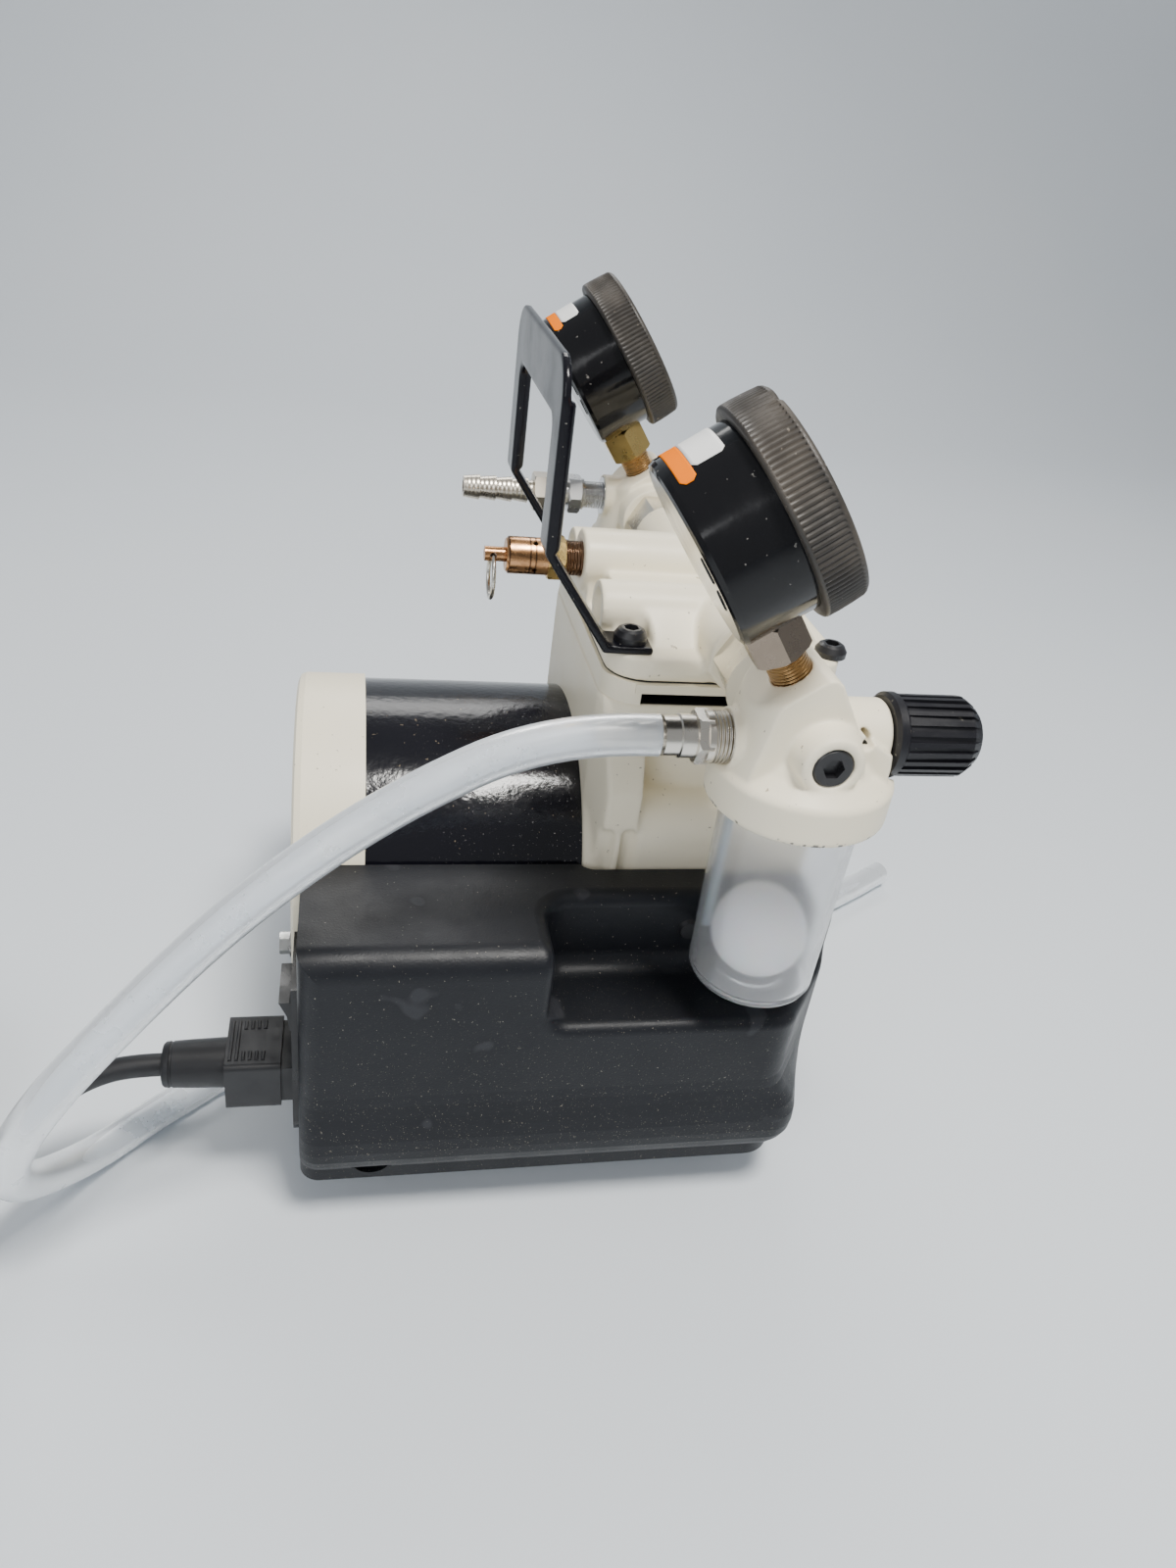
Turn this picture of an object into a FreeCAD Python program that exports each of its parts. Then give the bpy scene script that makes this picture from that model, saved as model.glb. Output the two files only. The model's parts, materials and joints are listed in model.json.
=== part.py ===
import FreeCAD, Part
import math
import os
from FreeCAD import Vector

# Oil-free piston vacuum and pressure pump on a moulded base.
# Millimetres. X points forward along the motor shaft, Y to the left, Z up from the bench.
# While it is built, X = 0 is the joint face between motor and crankcase and Z = 0 lies just under the base.
# The finished pieces are shifted so that the origin lies on the bench under the middle of the pump.

# Bench and base
bench_z = -16.0            # the rubber feet hold the base this far up
housing_bottom = 2.0
base_rear = -98.0
base_front_room = 7.0      # from the crankcase's front face to the base's
base_right = 111.5         # the side with the jar and the power inlet is the wider one
base_left = 90.0
base_top = 103.0
base_wall = 3.0
rear_corner_radius = 7.0
nose_radius = 12.0
nose_depth = 31.5          # the front corners are cut back over this width
front_turn_radius = 15.0
base_upper = 44.0          # above this the walls are upright
base_levels = [            # height, how far the side walls stand out, nose corner and front behind base_front
    (2.0, -2.0, 18.0, 7.0), (10.2, -2.0, 18.0, 7.0), (10.6, 0.6, 15.5, 2.8), (13.0, 1.8, 14.2, 1.4),
    (16.0, 2.7, 13.2, 0.4), (20.0, 3.0, 13.0, 0.0), (25.0, 2.8, 13.4, 0.0), (30.0, 2.0, 15.4, 0.0),
    (35.0, 1.0, 19.4, 0.0), (39.5, 0.3, 22.4, 0.0), (44.0, 0.0, 23.5, 0.0), (103.0, 0.0, 23.5, 0.0),
]
side_edge_radius = 9.0
front_edge_radius = 18.0
seam_gap = 0.2             # between the left and right housings
notch_rear = -17.0         # the recess under the trap jar
notch_wall_y = 79.5
notch_shelf = 72.0
notch_inner_radius = 7.0
notch_edge_radius = 5.0
notch_turn_radius = 10.0
shelf_edge_radius = 4.0
plate_thickness = 2.0
plate_clearance = 0.3
foot_radius = 11.0
foot_rear_inset = 27.0     # feet, from the base's rear and front
foot_front_inset = 31.0
foot_ys = (-81.0, 68.0)
mount_radius = 9.0
mount_rear_inset = 12.5
mount_front_inset = 21.0
mount_y = 48.0
recess_screw_x = 37.0
recess_screw_z = 88.0
air_slot_rear = 12.4
air_slot_front = 45.5
air_slot_height = 4.5
air_slot_depth_y = 34.0
hand_slot_x = -73.5
hand_slot_width = 14.0
hand_slot_height = 8.0

# Motor
shaft_z = 73.0
motor_radius = 64.0
motor_length = 77.0
shell_wall = 2.2
cap_length = 25.0
cap_radius = 65.6
cap_edge = 3.0
cap_screw_head = 3.6
cap_screw_washer = 0.6
stator_length = 52.0
stator_bore = 30.5
air_gap = 0.5
rotor_length = 50.0
winding_radius = 55.0
winding_length = 11.0
shaft_radius = 7.5
bearing_radius = 17.5
bearing_width = 11.0
running_gap = 0.05
motor_opening_gap = 2.0

# Crankcase, cylinder and rod
case_length = 86.0
base_front = case_length + base_front_room
case_half_width = 62.0
case_bell_radius = 62.5
case_bell_length = 17.0
case_register_radius = 66.0
case_corner_turn = 5.0
case_slot_xs = (6.5, 14.5)
case_slot_radius = 2.7
case_slot_top = 116.0
bore_low = 105.0
ledge_z = 128.0
ledge_radius = 13.0
case_top = 165.0
shoulder_z = 148.0
shoulder_half = 50.0
cavity_radius = 42.0
cavity_rear = 17.0
cylinder_x = 43.0
tower_radius = 47.0
tower_bore = 37.0
bore_radius = 24.0
sleeve_wall = 3.0
sleeve_bottom = 121.0
fin_radius = 34.0
fin_count = 4
throw = 4.8                # eccentricity, half the stroke
eccentric_radius = 13.0
rod_bearing_radius = 24.0
rod_ring = 5.0
rod_width = 14.0
crown_gap = 0.7
crown_thickness = 4.0
cup_radius = 23.6
cup_height = 5.0
fan_radius = 37.0
fan_blades = 7
cover_radius = 47.0
cover_screw_radius = 1.6
cover_thickness = 3.0

# Head
head_rear = 1.0
head_front = 85.0
head_half_width = 55.0
head_corner = 13.0
valve_plate_thickness = 8.0
gasket_thickness = 0.6
head_flange = 8.0
head_dome = 13.0
tab_rear = 14.0              # parting tabs on the edges of head and valve plate
tab_front = 42.0
tab_stand = 1.0
bolt_rear_x = 8.4
bolt_front_x = 80.9
bolt_y = 45.0
bolt_radius = 3.0
bolt_head_radius = 5.6
bolt_head_height = 4.4
main_boss_z = 195.0
main_boss_radius = 11.0
side_boss_y = 27.0
side_boss_z = 188.0
side_boss_radius = 9.5
port_x = 46.0              # side ports that carry the two regulators
port_z = 185.0
port_boss_radius = 13.5
hex_nipple_flats = 22.0

# Relief valve in the rear of the head
relief_body_length = 15.0
relief_hex_length = 6.0
relief_hex_flats = 14.0
relief_radius = 6.6
relief_thread_radius = 6.2
relief_thread_length = 7.0
relief_stem_radius = 2.6
relief_stem_out = 7.5
relief_lift = 1.2
ring_radius = 8.0
ring_wire = 0.8

# Regulators, one each side
regulator_x = 52.5
regulator_y = 102.0
regulator_radius = 28.5
regulator_bottom = 158.5
collar_height = 13.0
collar_cone = 9.0          # height over which the casting draws in above the collar
gauge_tilt = 34.7          # degrees that the dial looks up from forward
gauge_port_x = 41.7
gauge_port_z = 201.6
neck_radius = 11.3
neck_end = 74.6
knob_z = 181.5
knob_radius = 13.2
knob_length = 31.2
knob_gap = 0.4
knob_clearance = 0.8
knob_ribs = 24
plug_boss_radius = 9.5
plug_boss_out = 18.5       # from the regulator's centre to the boss face
plug_x = 54.0
plug_z = 178.0
plug_radius = 5.4
rear_port_z = 179.5         # on the vacuum side
rear_port_z_left = 188.0
rear_port_x = 26.0
vent_radius = 2.2
vent_x = 64.5
vent_z = 186.0
regulator_inner_face = 23.0
nipple_radius = 8.0
rear_thread_radius = 8.0
knob_spindle_radius = 4.0
tower_half = 14.5

# Gauges
gauge_reach = 46.6         # from the port to the dial centre along the stem
gauge_case_radius = 27.5
gauge_bezel_radius = 31.0
gauge_back = 10.3          # from the stem to the back plate
gauge_case_front = 12.7
bezel_depth = 13.0
bezel_lip = 4.0
lens_thickness = 2.0
gauge_stem_flats = 17.0
gauge_thread_radius = 6.3
gauge_thread_length = 8.0
pointer_length = 21.0

# Trap jar
jar_radius = 22.2
jar_wall = 1.8
jar_bottom = 88.5
jar_draft = 1.0
jar_neck_height = 11.0
ball_radius = 15.9
seal_thickness = 2.0
bowl_cap_height = 7.0

# Hose tails
tail_radius = 5.0
tail_bore = 2.6
hose_hex_flats = 14.5

# Carrying handle
handle_x = -23.0
handle_thickness = 2.6
handle_half = 45.0
handle_top = 272.0
handle_panel = 19.0
handle_leg_width = 14.0
handle_bend_z = 215.0
handle_foot_x = -1.5
handle_tab_end = 15.3

# Power inlet at the rear, on the right
inlet_y = -81.5
inlet_z = 33.0
inlet_flange_width = 30.0
inlet_flange_bottom = 9.0
inlet_flange_top = 79.0
inlet_flange_thickness = 2.5
inlet_depth = 20.0
switch_z = 63.0
switch_width = 20.0
switch_height = 13.0
switch_depth = 9.0
connector_width = 26.0
connector_height = 20.0
connector_grip = 18.5
connector_nose_width = 23.6
connector_nose_height = 15.4
connector_nose = 17.0
strain_relief_length = 22.0
strain_relief_radius = 6.6

# Capacitor
capacitor_radius = 17.5
capacitor_length = 56.0
capacitor_rear = -58.0
capacitor_y = 67.5

# Hose and power cord
hose_diameter = 12.6
cord_diameter = 8.0
coil_turn_radius = 44.0
coil_height = 24.0
coil_width = 16.0
coil_edge_radius = 5.0
coil_centre_x = -266.0
coil_centre_y = -63.0
mains_body = (27.0, 27.0, 34.0)
plug_gap = 0.25            # between the coil and the plug beside it
hose_bore = 9.4
hose_route = [             # centre line, from the hose tail down to the bench and on under the base
    (5.5, -102.0, 179.5), (-25.0, -100.5, 179.5), (-70.0, -108.5, 160.0), (-109.5, -114.5, 130.5),
    (-143.0, -121.0, 96.5), (-175.5, -133.5, 61.5), (-189.0, -118.5, 17.5), (-174.5, -86.0, -9.7),
    (-149.5, -61.5, -9.7), (-107.0, -27.0, -9.7), (-65.0, -6.0, -9.7), (-5.0, 4.0, -9.7), (55.0, 8.0, -9.7),
    (105.0, 24.0, -9.7), (147.0, 50.0, -9.7), (182.0, 68.0, -9.7), (209.0, 85.0, -9.7),
]
cord_route = [             # from the strain relief down to the bench and into the coil
    (-156.0, -81.5, 33.0), (-167.5, -83.0, 30.5), (-177.5, -85.5, 25.5), (-186.0, -89.0, 18.0),
    (-192.5, -92.5, 9.0), (-199.5, -96.5, 0.5), (-208.0, -100.5, -6.0), (-218.0, -104.0, -10.3),
    (-229.5, -106.5, -12.0), (-241.5, -107.0, -12.0),
]

# Places worked out from the values above
cap_rear = -motor_length - cap_length
knob_tip = neck_end + knob_gap + knob_length
frame_shift = -(cap_rear - cap_screw_head - cap_screw_washer + knob_tip) / 2
plate_bottom = housing_bottom + 1.0
plate_top = plate_bottom + plate_thickness
shell_inner = motor_radius - shell_wall
valve_plate_top = case_top + valve_plate_thickness
gasket_top = valve_plate_top + gasket_thickness
head_top = gasket_top + head_flange
crank_z = shaft_z + throw
crown_top = case_top - crown_gap
boss_rear = head_rear - 3.3
relief_face = boss_rear
stem_tip = relief_face - 6.0 - relief_body_length - relief_hex_length - relief_stem_out
ring_hole_x = stem_tip + 3.0
tilt = math.radians(gauge_tilt)
dial_axis = Vector(math.cos(tilt), 0, math.sin(tilt))
stem_axis = Vector(-math.sin(tilt), 0, math.cos(tilt))
foot_xs = (base_rear + foot_rear_inset, base_front - foot_front_inset)
mount_xs = (base_rear + mount_rear_inset, base_front - mount_front_inset)
X = Vector(1, 0, 0)
Y = Vector(0, 1, 0)
Z = Vector(0, 0, 1)


def cyl(radius, length, base, axis):
    return Part.makeCylinder(radius, length, base, axis)


def tube(outer, inner, length, base, axis):
    return cyl(outer, length, base, axis).cut(cyl(inner, length, base, axis))


def box(x0, x1, y0, y1, z0, z1):
    return Part.makeBox(x1 - x0, y1 - y0, z1 - z0, Vector(x0, y0, z0))


def cone(r0, r1, length, base, axis):
    return Part.makeCone(r0, r1, length, base, axis)


def prism(points, direction):
    return Part.Face(Part.makePolygon(points + [points[0]])).extrude(direction)


def turned(profile, base, axis):
    """A turned piece: profile is a list of (distance along the axis, radius)."""
    points = [Vector(0, 0, 0) + X * a + Y * r for a, r in profile]
    points = [X * profile[0][0]] + points + [X * profile[-1][0]]
    solid = Part.Face(Part.makePolygon(points + [points[0]])).revolve(Vector(0, 0, 0), X, 360)
    solid.Placement = FreeCAD.Placement(base, FreeCAD.Rotation(X, axis))
    return solid


def hexagon(flats, length, base, axis):
    corner = flats / math.sqrt(3)
    angles = [math.radians(60 * i) for i in range(6)]
    points = [Vector(0, corner * math.cos(a), corner * math.sin(a)) for a in angles]
    solid = prism(points, X * length)
    solid.Placement = FreeCAD.Placement(base, FreeCAD.Rotation(X, axis))
    return solid


def hex_bar(flats, length, base, axis):
    """Hexagon with its corners turned off at both ends."""
    corner = flats / math.sqrt(3)
    edge = (corner - flats / 2) * 0.6
    profile = [(0, corner - edge), (edge, corner), (length - edge, corner), (length, corner - edge)]
    return hexagon(flats, length, base, axis).common(turned(profile, base, axis))


def rounded_rect(x0, x1, y0, y1, z, rear, front):
    """Closed wire in plan with its own corner radii at the rear and the front."""
    s = math.sqrt(0.5)
    corners = [(x0, y0, rear, 1, 1), (x1, y0, front, -1, 1), (x1, y1, front, -1, -1), (x0, y1, rear, 1, -1)]
    edges = []
    ends = []
    for x, y, r, sx, sy in corners:
        cx = x + sx * r
        cy = y + sy * r
        on_x = Vector(cx, y, z)
        on_y = Vector(x, cy, z)
        middle = Vector(cx - sx * r * s, cy - sy * r * s, z)
        first, last = (on_y, on_x) if sx * sy > 0 else (on_x, on_y)
        ends.append((first, middle, last))
    for i in range(4):
        first, middle, last = ends[i]
        edges.append(Part.Arc(first, middle, last).toShape())
        edges.append(Part.LineSegment(last, ends[(i + 1) % 4][0]).toShape())
    return Part.Wire(edges)


def slab(x0, x1, half_width, radius, z0, z1):
    wire = rounded_rect(x0, x1, -half_width, half_width, z0, radius, radius)
    return Part.Face(wire).extrude(Z * (z1 - z0))


def fused(first, *others):
    return first.fuse(list(others)).removeSplitter()


def round_edges(shape, radius, test):
    chosen = [e for e in shape.Edges if test(e)]
    return shape.makeFillet(radius, chosen)


def mirrored(shape):
    return shape.mirror(Vector(0, 0, 0), Y)


def at_z(edge, z, slack=0.05):
    limits = edge.BoundBox
    return abs(limits.ZMin - z) < slack and abs(limits.ZMax - z) < slack


def at_y(edge, y, slack=0.05):
    limits = edge.BoundBox
    return abs(limits.YMin - y) < slack and abs(limits.YMax - y) < slack


def at_x(edge, x, slack=0.05):
    limits = edge.BoundBox
    return abs(limits.XMin - x) < slack and abs(limits.XMax - x) < slack


# Base


def base_form(inset):
    """Outer form of the moulded housing, or its inside when inset is the wall."""
    outlines = [base_outline(level, inset) for level in base_levels]
    right = -base_right + inset
    left = base_left - inset
    top = base_top - inset
    edge = side_edge_radius - inset
    path = [(left, base_upper, 0), (left, top, edge), (right, top, edge), (right, base_upper, 0)]
    upper = Part.Face(rounded_path(path)).extrude(X * 400)
    upper.translate(X * -200)
    upper = upper.common(Part.Face(outlines[-2]).extrude(Z * base_top))
    upper = upper.cut(front_wedge(base_front - inset, top, front_edge_radius - inset))
    layers = []
    for low, high in zip(outlines[:-1], outlines[1:-1]):
        layers.append(Part.makeLoft([low, high], True, True))
    body = upper.fuse(layers).removeSplitter()
    body = body.cut(mirrored(jar_recess(inset)))
    if inset:
        return body
    outline = [e for e in body.Edges if on_shelf_outline(e)]
    return body.makeFillet(shelf_edge_radius, outline)


def base_outline(level, inset):
    """Plan of the housing at one level: square at the rear, cut back at both front corners."""
    z, reach, nose_back, front_back = level
    nose_x = base_front - nose_back
    front_x = base_front - front_back
    right = -base_right - reach
    left = base_left + reach
    corners = [
        (Vector(base_rear, right, z), rear_corner_radius),
        (Vector(nose_x, right, z), nose_radius),
        (Vector(front_x, right + nose_depth + reach, z), front_turn_radius),
        (Vector(front_x, left - nose_depth - reach, z), front_turn_radius),
        (Vector(nose_x, left, z), nose_radius),
        (Vector(base_rear, left, z), rear_corner_radius),
    ]
    return rounded_wire(moved_in(corners, inset))


def moved_in(corners, inset):
    """Corners of an outline that runs anticlockwise, with all its sides moved inward."""
    moved = []
    for i, (here, radius) in enumerate(corners):
        before = (here - corners[i - 1][0]).normalize()
        after = (corners[(i + 1) % len(corners)][0] - here).normalize()
        inward = (Z.cross(before) + Z.cross(after)).normalize()
        moved.append((here + inward * (inset / math.cos(before.getAngle(after) / 2)), radius - inset))
    return moved


def on_shelf_outline(edge):
    """True on the outer edge of the shelf; its rounding carries on up the recess's rear edge."""
    return at_z(edge, notch_shelf) and edge.BoundBox.YMin < -notch_wall_y - 12


def jar_recess(inset):
    """Space over the shelf, drawn for the left side: it runs forward, and turns outward at the rear."""
    wall_y = notch_wall_y - inset
    rear_x = notch_rear - inset
    shelf = notch_shelf - inset
    top = base_top - inset
    edge = max(notch_edge_radius - inset, 1.0)
    hollow = notch_inner_radius
    turn = notch_turn_radius
    reach = base_right - wall_y + 10
    over = 5.0
    face = Part.Face(wall_profile(edge, hollow, shelf, top, reach, over))
    ahead = face.extrude(X * (base_front - rear_x - turn + 10))
    ahead.translate(Vector(rear_x + turn, wall_y, 0))
    short = Part.Face(wall_profile(edge, hollow, shelf, top, turn, over))
    corner = short.revolve(Vector(0, turn, 0), Z, -90)
    corner.translate(Vector(rear_x + turn, wall_y, 0))
    outward = face.copy()
    outward.rotate(Vector(0, 0, 0), Z, -90)
    outward = outward.extrude(Y * (reach + 10))
    outward.translate(Vector(rear_x, wall_y + turn, 0))
    return ahead.fuse([corner, outward])


def wall_profile(edge, hollow, shelf, top, reach, over):
    """Profile of the empty space beside a recess wall that stands at y = 0."""
    s = math.sqrt(0.5)
    a = Vector(0, -edge, top)
    b = Vector(0, -edge + edge * s, top - edge + edge * s)
    c = Vector(0, 0, top - edge)
    d = Vector(0, 0, shelf + hollow)
    e = Vector(0, hollow - hollow * s, shelf + hollow - hollow * s)
    f = Vector(0, hollow, shelf)
    g = Vector(0, reach, shelf)
    h = Vector(0, reach, top + over)
    k = Vector(0, -edge, top + over)
    edges = [Part.Arc(a, b, c).toShape(), Part.LineSegment(c, d).toShape(), Part.Arc(d, e, f).toShape()]
    for first, last in [(f, g), (g, h), (h, k), (k, a)]:
        edges.append(Part.LineSegment(first, last).toShape())
    return Part.Wire(edges)


def rounded_path(path):
    """Closed wire through (y, z, radius) corners, each turned by an arc of its radius."""
    return rounded_wire([(Vector(0, y, z), radius) for y, z, radius in path])


def rounded_wire(corners):
    """Closed flat wire through (point, radius) corners, each turned by an arc of its radius."""
    arcs = []
    edges = []
    for i, (here, radius) in enumerate(corners):
        to_prev = (corners[i - 1][0] - here).normalize()
        to_next = (corners[(i + 1) % len(corners)][0] - here).normalize()
        if radius == 0:
            arcs.append((here, None, here))
            continue
        half_turn = to_prev.getAngle(to_next) / 2
        reach = radius / math.tan(half_turn)
        centre = here + (to_prev + to_next).normalize() * (radius / math.sin(half_turn))
        middle = centre + (here - centre).normalize() * radius
        arcs.append((here + to_prev * reach, middle, here + to_next * reach))
    for i, (enter, middle, leave) in enumerate(arcs):
        if middle:
            edges.append(Part.Arc(enter, middle, leave).toShape())
        following = arcs[(i + 1) % len(arcs)][0]
        if (following - leave).Length > 0.001:
            edges.append(Part.LineSegment(leave, following).toShape())
    return Part.Wire(edges)


def front_wedge(x1, top, edge):
    """What the large rounding takes off the upper front edge."""
    s = math.sqrt(0.5)
    past = x1 + 1
    over = top + 1
    corners = [Vector(x1 - edge, 0, top), Vector(x1 - edge, 0, over), Vector(past, 0, over),
               Vector(past, 0, top - edge)]
    corners.append(Vector(x1, 0, top - edge))
    lines = [Part.LineSegment(a, b).toShape() for a, b in zip(corners, corners[1:])]
    middle = Vector(x1 - edge + edge * s, 0, top - edge + edge * s)
    lines.append(Part.Arc(corners[-1], middle, corners[0]).toShape())
    wedge = Part.Face(Part.Wire(lines)).extrude(Y * 4 * base_right)
    wedge.translate(Y * -2 * base_right)
    return wedge


def pump_opening():
    """What the motor, crankcase and head need to stand up through the base."""
    gap = motor_opening_gap
    motor = cyl(cap_radius + gap, motor_length + cap_length + 20, Vector(cap_rear - 10, 0, shaft_z), X)
    front = case_length + gap
    case = slab(-gap, front, case_half_width + gap, 6, shaft_z, base_top + 5)
    cover = cyl(cover_radius + gap, 20, Vector(case_length - 2, 0, shaft_z), X)
    return motor.fuse([case, cover])


def housings():
    """The two moulded side housings that meet on the middle plane and drop over the base plate."""
    form = base_form(0)
    shell = form.cut(base_form(base_wall)).cut(pump_opening())
    slot_z = housing_bottom + 1.5 + hand_slot_height
    slot = cyl(hand_slot_width / 2, 2 * base_wall + 4, Vector(hand_slot_x, -base_right - 2, slot_z), Y)
    slot = slot.common(box(-100, 100, -300, 300, slot_z - hand_slot_height, slot_z))
    shell = shell.cut(slot)
    window = box(base_rear - 1, base_rear + base_wall + 1, *inlet_window(0.3))
    shell = shell.cut(window)
    boss_top = 30.0
    halves = []
    for side in (-1, 1):
        y0, y1 = (-200, -seam_gap / 2) if side < 0 else (seam_gap / 2, 200)
        half = shell.common(box(-200, 200, y0, y1, 0, 200))
        for x, y in screw_places():
            if y * side > 0:
                boss = tube(5, 1.6, boss_top - plate_top, Vector(x, y, plate_top), Z)
                y2, y3 = sorted((y, base_left + 1 if side > 0 else -base_right - 1))
                web = box(x - 1, x + 1, y2, y3, plate_top, boss_top)
                rib = web.cut(cyl(4.5, 60, Vector(x, y, 0), Z)).common(form)
                half = half.fuse([boss, rib])
        halves.append(half)
    return halves


def inlet_window(gap):
    """Opening in the rear wall as y0, y1, z0, z1."""
    half = inlet_flange_width / 2 - 2
    return inlet_y - half - gap, inlet_y + half + gap, inlet_flange_bottom + 2 - gap, inlet_flange_top - 2 + gap


def screw_places():
    """Where the base plate is screwed to the bosses inside the housings."""
    right = -base_right + 16
    left = base_left - 14
    return [(-50, right), (-85, left), (35, right), (40, left)]


def base_plate():
    wire = base_outline((plate_bottom,) + base_levels[0][1:], base_wall + plate_clearance)
    plate = Part.Face(wire).extrude(Z * plate_thickness)
    for x, y in screw_places():
        plate = plate.cut(cyl(2.2, 10, Vector(x, y, 0), Z))
    for x, y in foot_places():
        plate = plate.cut(cyl(3.0, 10, Vector(x, y, 0), Z))
    for x, y in mount_places():
        plate = plate.cut(cyl(3.2, 10, Vector(x, y, 0), Z))
    for i in range(6):
        slot = slab(-46 + 14 * i, -40 + 14 * i, 16, 2.9, 0, 10)
        plate = plate.cut(slot)
    return plate


def foot_places():
    return [(x, y) for x in foot_xs for y in foot_ys]


def mount_places():
    return [(x, y) for x in mount_xs for y in (-mount_y, mount_y)]


def rubber_feet():
    feet = []
    for x, y in foot_places():
        drop = plate_bottom - bench_z
        profile = [(0, foot_radius - 2.5), (1.5, foot_radius - 1), (drop, foot_radius), (drop, 2.9),
                   (drop + plate_thickness, 2.9), (drop + plate_thickness,
                                                   4.5), (drop + plate_thickness + 2.5, 3.5)]
        feet.append(turned(profile, Vector(x, y, bench_z), Z))
    return Part.makeCompound(feet)


def isolation_mounts():
    """Rubber bobbins between the base plate and the feet of the pump."""
    pieces = []
    for x, y in mount_places():
        top = foot_pad_z()
        profile = [(0, mount_radius), (3, mount_radius), (4.5, mount_radius - 2),
                   (top - plate_top - 4.5, mount_radius - 2),
                   (top - plate_top - 3, mount_radius), (top - plate_top, mount_radius)]
        pieces.append(turned(profile, Vector(x, y, plate_top), Z))
    return Part.makeCompound(pieces)


def foot_pad_z():
    return plate_top + 14.0


def cover_screws():
    """Screws of the base plate, of the recess walls and of the front cover."""
    pieces = []
    for x, y in screw_places():
        profile = [(0, 2.6), (2.0, 3.8), (2.0, 1.55), (16, 1.55)]
        pieces.append(turned(profile, Vector(x, y, plate_bottom - 2.0), Z))
    pieces.append(turned([(0, 4.2), (1.6, 3.4)], Vector(recess_screw_x, -notch_wall_y, recess_screw_z),
                         Y * -1))
    for y, z in cover_screw_places():
        start = case_length + cover_thickness
        profile = [(-cover_thickness - 8, cover_screw_radius), (0, cover_screw_radius), (0, 3.4), (1.9, 2.8)]
        pieces.append(turned(profile, Vector(start, y, z), X))
    return Part.makeCompound(pieces)


def cover_screw_places():
    ring = cover_radius - 4.5
    angles = [math.radians(30 + 60 * i) for i in range(6)]
    return [(ring * math.sin(a), shaft_z + ring * math.cos(a)) for a in angles]


# Power inlet and switch


def power_inlet():
    """Snap-in module: recessed inlet below, rocker frame above."""
    y0 = inlet_y - inlet_flange_width / 2
    y1 = inlet_y + inlet_flange_width / 2
    flange = box(base_rear - inlet_flange_thickness, base_rear, y0, y1, inlet_flange_bottom, inlet_flange_top)
    flange = round_edges(flange, 9.0, lambda e: e.BoundBox.XLength > 1 and e.BoundBox.ZMax < inlet_z)
    body = box(base_rear, base_rear + inlet_depth, *inlet_window(0))
    module = flange.fuse([body])
    half_w = connector_nose_width / 2 + 0.4
    half_h = connector_nose_height / 2 + 0.4
    face = base_rear - inlet_flange_thickness
    recess = box(face - 1, face + connector_nose + 1, inlet_y - half_w, inlet_y + half_w, inlet_z - half_h,
                 inlet_z + half_h)
    module = module.cut(recess)
    half_w = switch_width / 2 + 0.5
    half_h = switch_height / 2 + 0.8
    pocket = box(face - 1, face + switch_depth + 2.5, inlet_y - half_w, inlet_y + half_w,
                 switch_z - half_h, switch_z + half_h)
    module = module.cut(pocket)
    pin = cyl(1.2, switch_width + 3, Vector(face + 2.0, inlet_y - switch_width / 2 - 1.5, switch_z), Y)
    for offset, z in [(-7.0, inlet_z - 2), (0.0, inlet_z + 2), (7.0, inlet_z - 2)]:
        blade = box(face + connector_nose + 1 - 14, face + connector_nose + 1, inlet_y + offset - 1,
                    inlet_y + offset + 1,
                    z - 2, z + 2)
        module = module.fuse([blade])
    return module.fuse([pin])


def switch_rocker():
    """Rocker that turns on the pin of its frame, at rest with its lower half pressed in."""
    face = base_rear - inlet_flange_thickness
    half = switch_height / 2
    pivot = Vector(face + 2.0, 0, switch_z)
    profile = [
        Vector(face + 6.5, 0, switch_z - 3),
        Vector(face + 0.5, 0, switch_z - half),
        Vector(face - 0.8, 0, switch_z - half),
        Vector(face - 1.6, 0, switch_z),
        Vector(face - 4.2, 0, switch_z + half - 0.4),
        Vector(face - 0.7, 0, switch_z + half - 0.4),
        Vector(face + 6.5, 0, switch_z + 3),
    ]
    solid = prism(profile, Y * switch_width)
    solid.translate(Y * (inlet_y - switch_width / 2))
    return solid.cut(cyl(1.2 + running_gap, switch_width + 10,
                         Vector(pivot.x, inlet_y - switch_width / 2 - 5, pivot.z), Y))


def iec_connector():
    """Line socket on the power cord, pushed into the inlet, with its strain relief."""
    face = base_rear - inlet_flange_thickness
    grip_end = face - 4.0
    body = box(grip_end - connector_grip, grip_end, inlet_y - connector_width / 2,
               inlet_y + connector_width / 2,
               inlet_z - connector_height / 2, inlet_z + connector_height / 2)
    body = round_edges(body, 2.0, lambda e: e.BoundBox.XLength > 10)
    nose = box(grip_end - 1, face + connector_nose, inlet_y - connector_nose_width / 2,
               inlet_y + connector_nose_width / 2,
               inlet_z - connector_nose_height / 2, inlet_z + connector_nose_height / 2)
    socket = []
    for offset, z in [(-7.0, inlet_z - 2), (0.0, inlet_z + 2), (7.0, inlet_z - 2)]:
        socket.append(box(face + connector_nose - 15, face + connector_nose + 1, inlet_y + offset - 1.3,
                          inlet_y + offset + 1.3, z - 2.3, z + 2.3))
    nose = nose.cut(Part.makeCompound(socket))
    start = grip_end - connector_grip
    r = strain_relief_radius
    profile = [(0, r + 0.6), (3, r + 0.6), (4, r - 0.4), (strain_relief_length - 3, r - 0.8),
               (strain_relief_length - 2.5, r + 0.2), (strain_relief_length, r)]
    relief = turned(profile, Vector(start + 0.5, inlet_y, inlet_z), X * -1)
    return fused(body, nose, relief)


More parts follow.
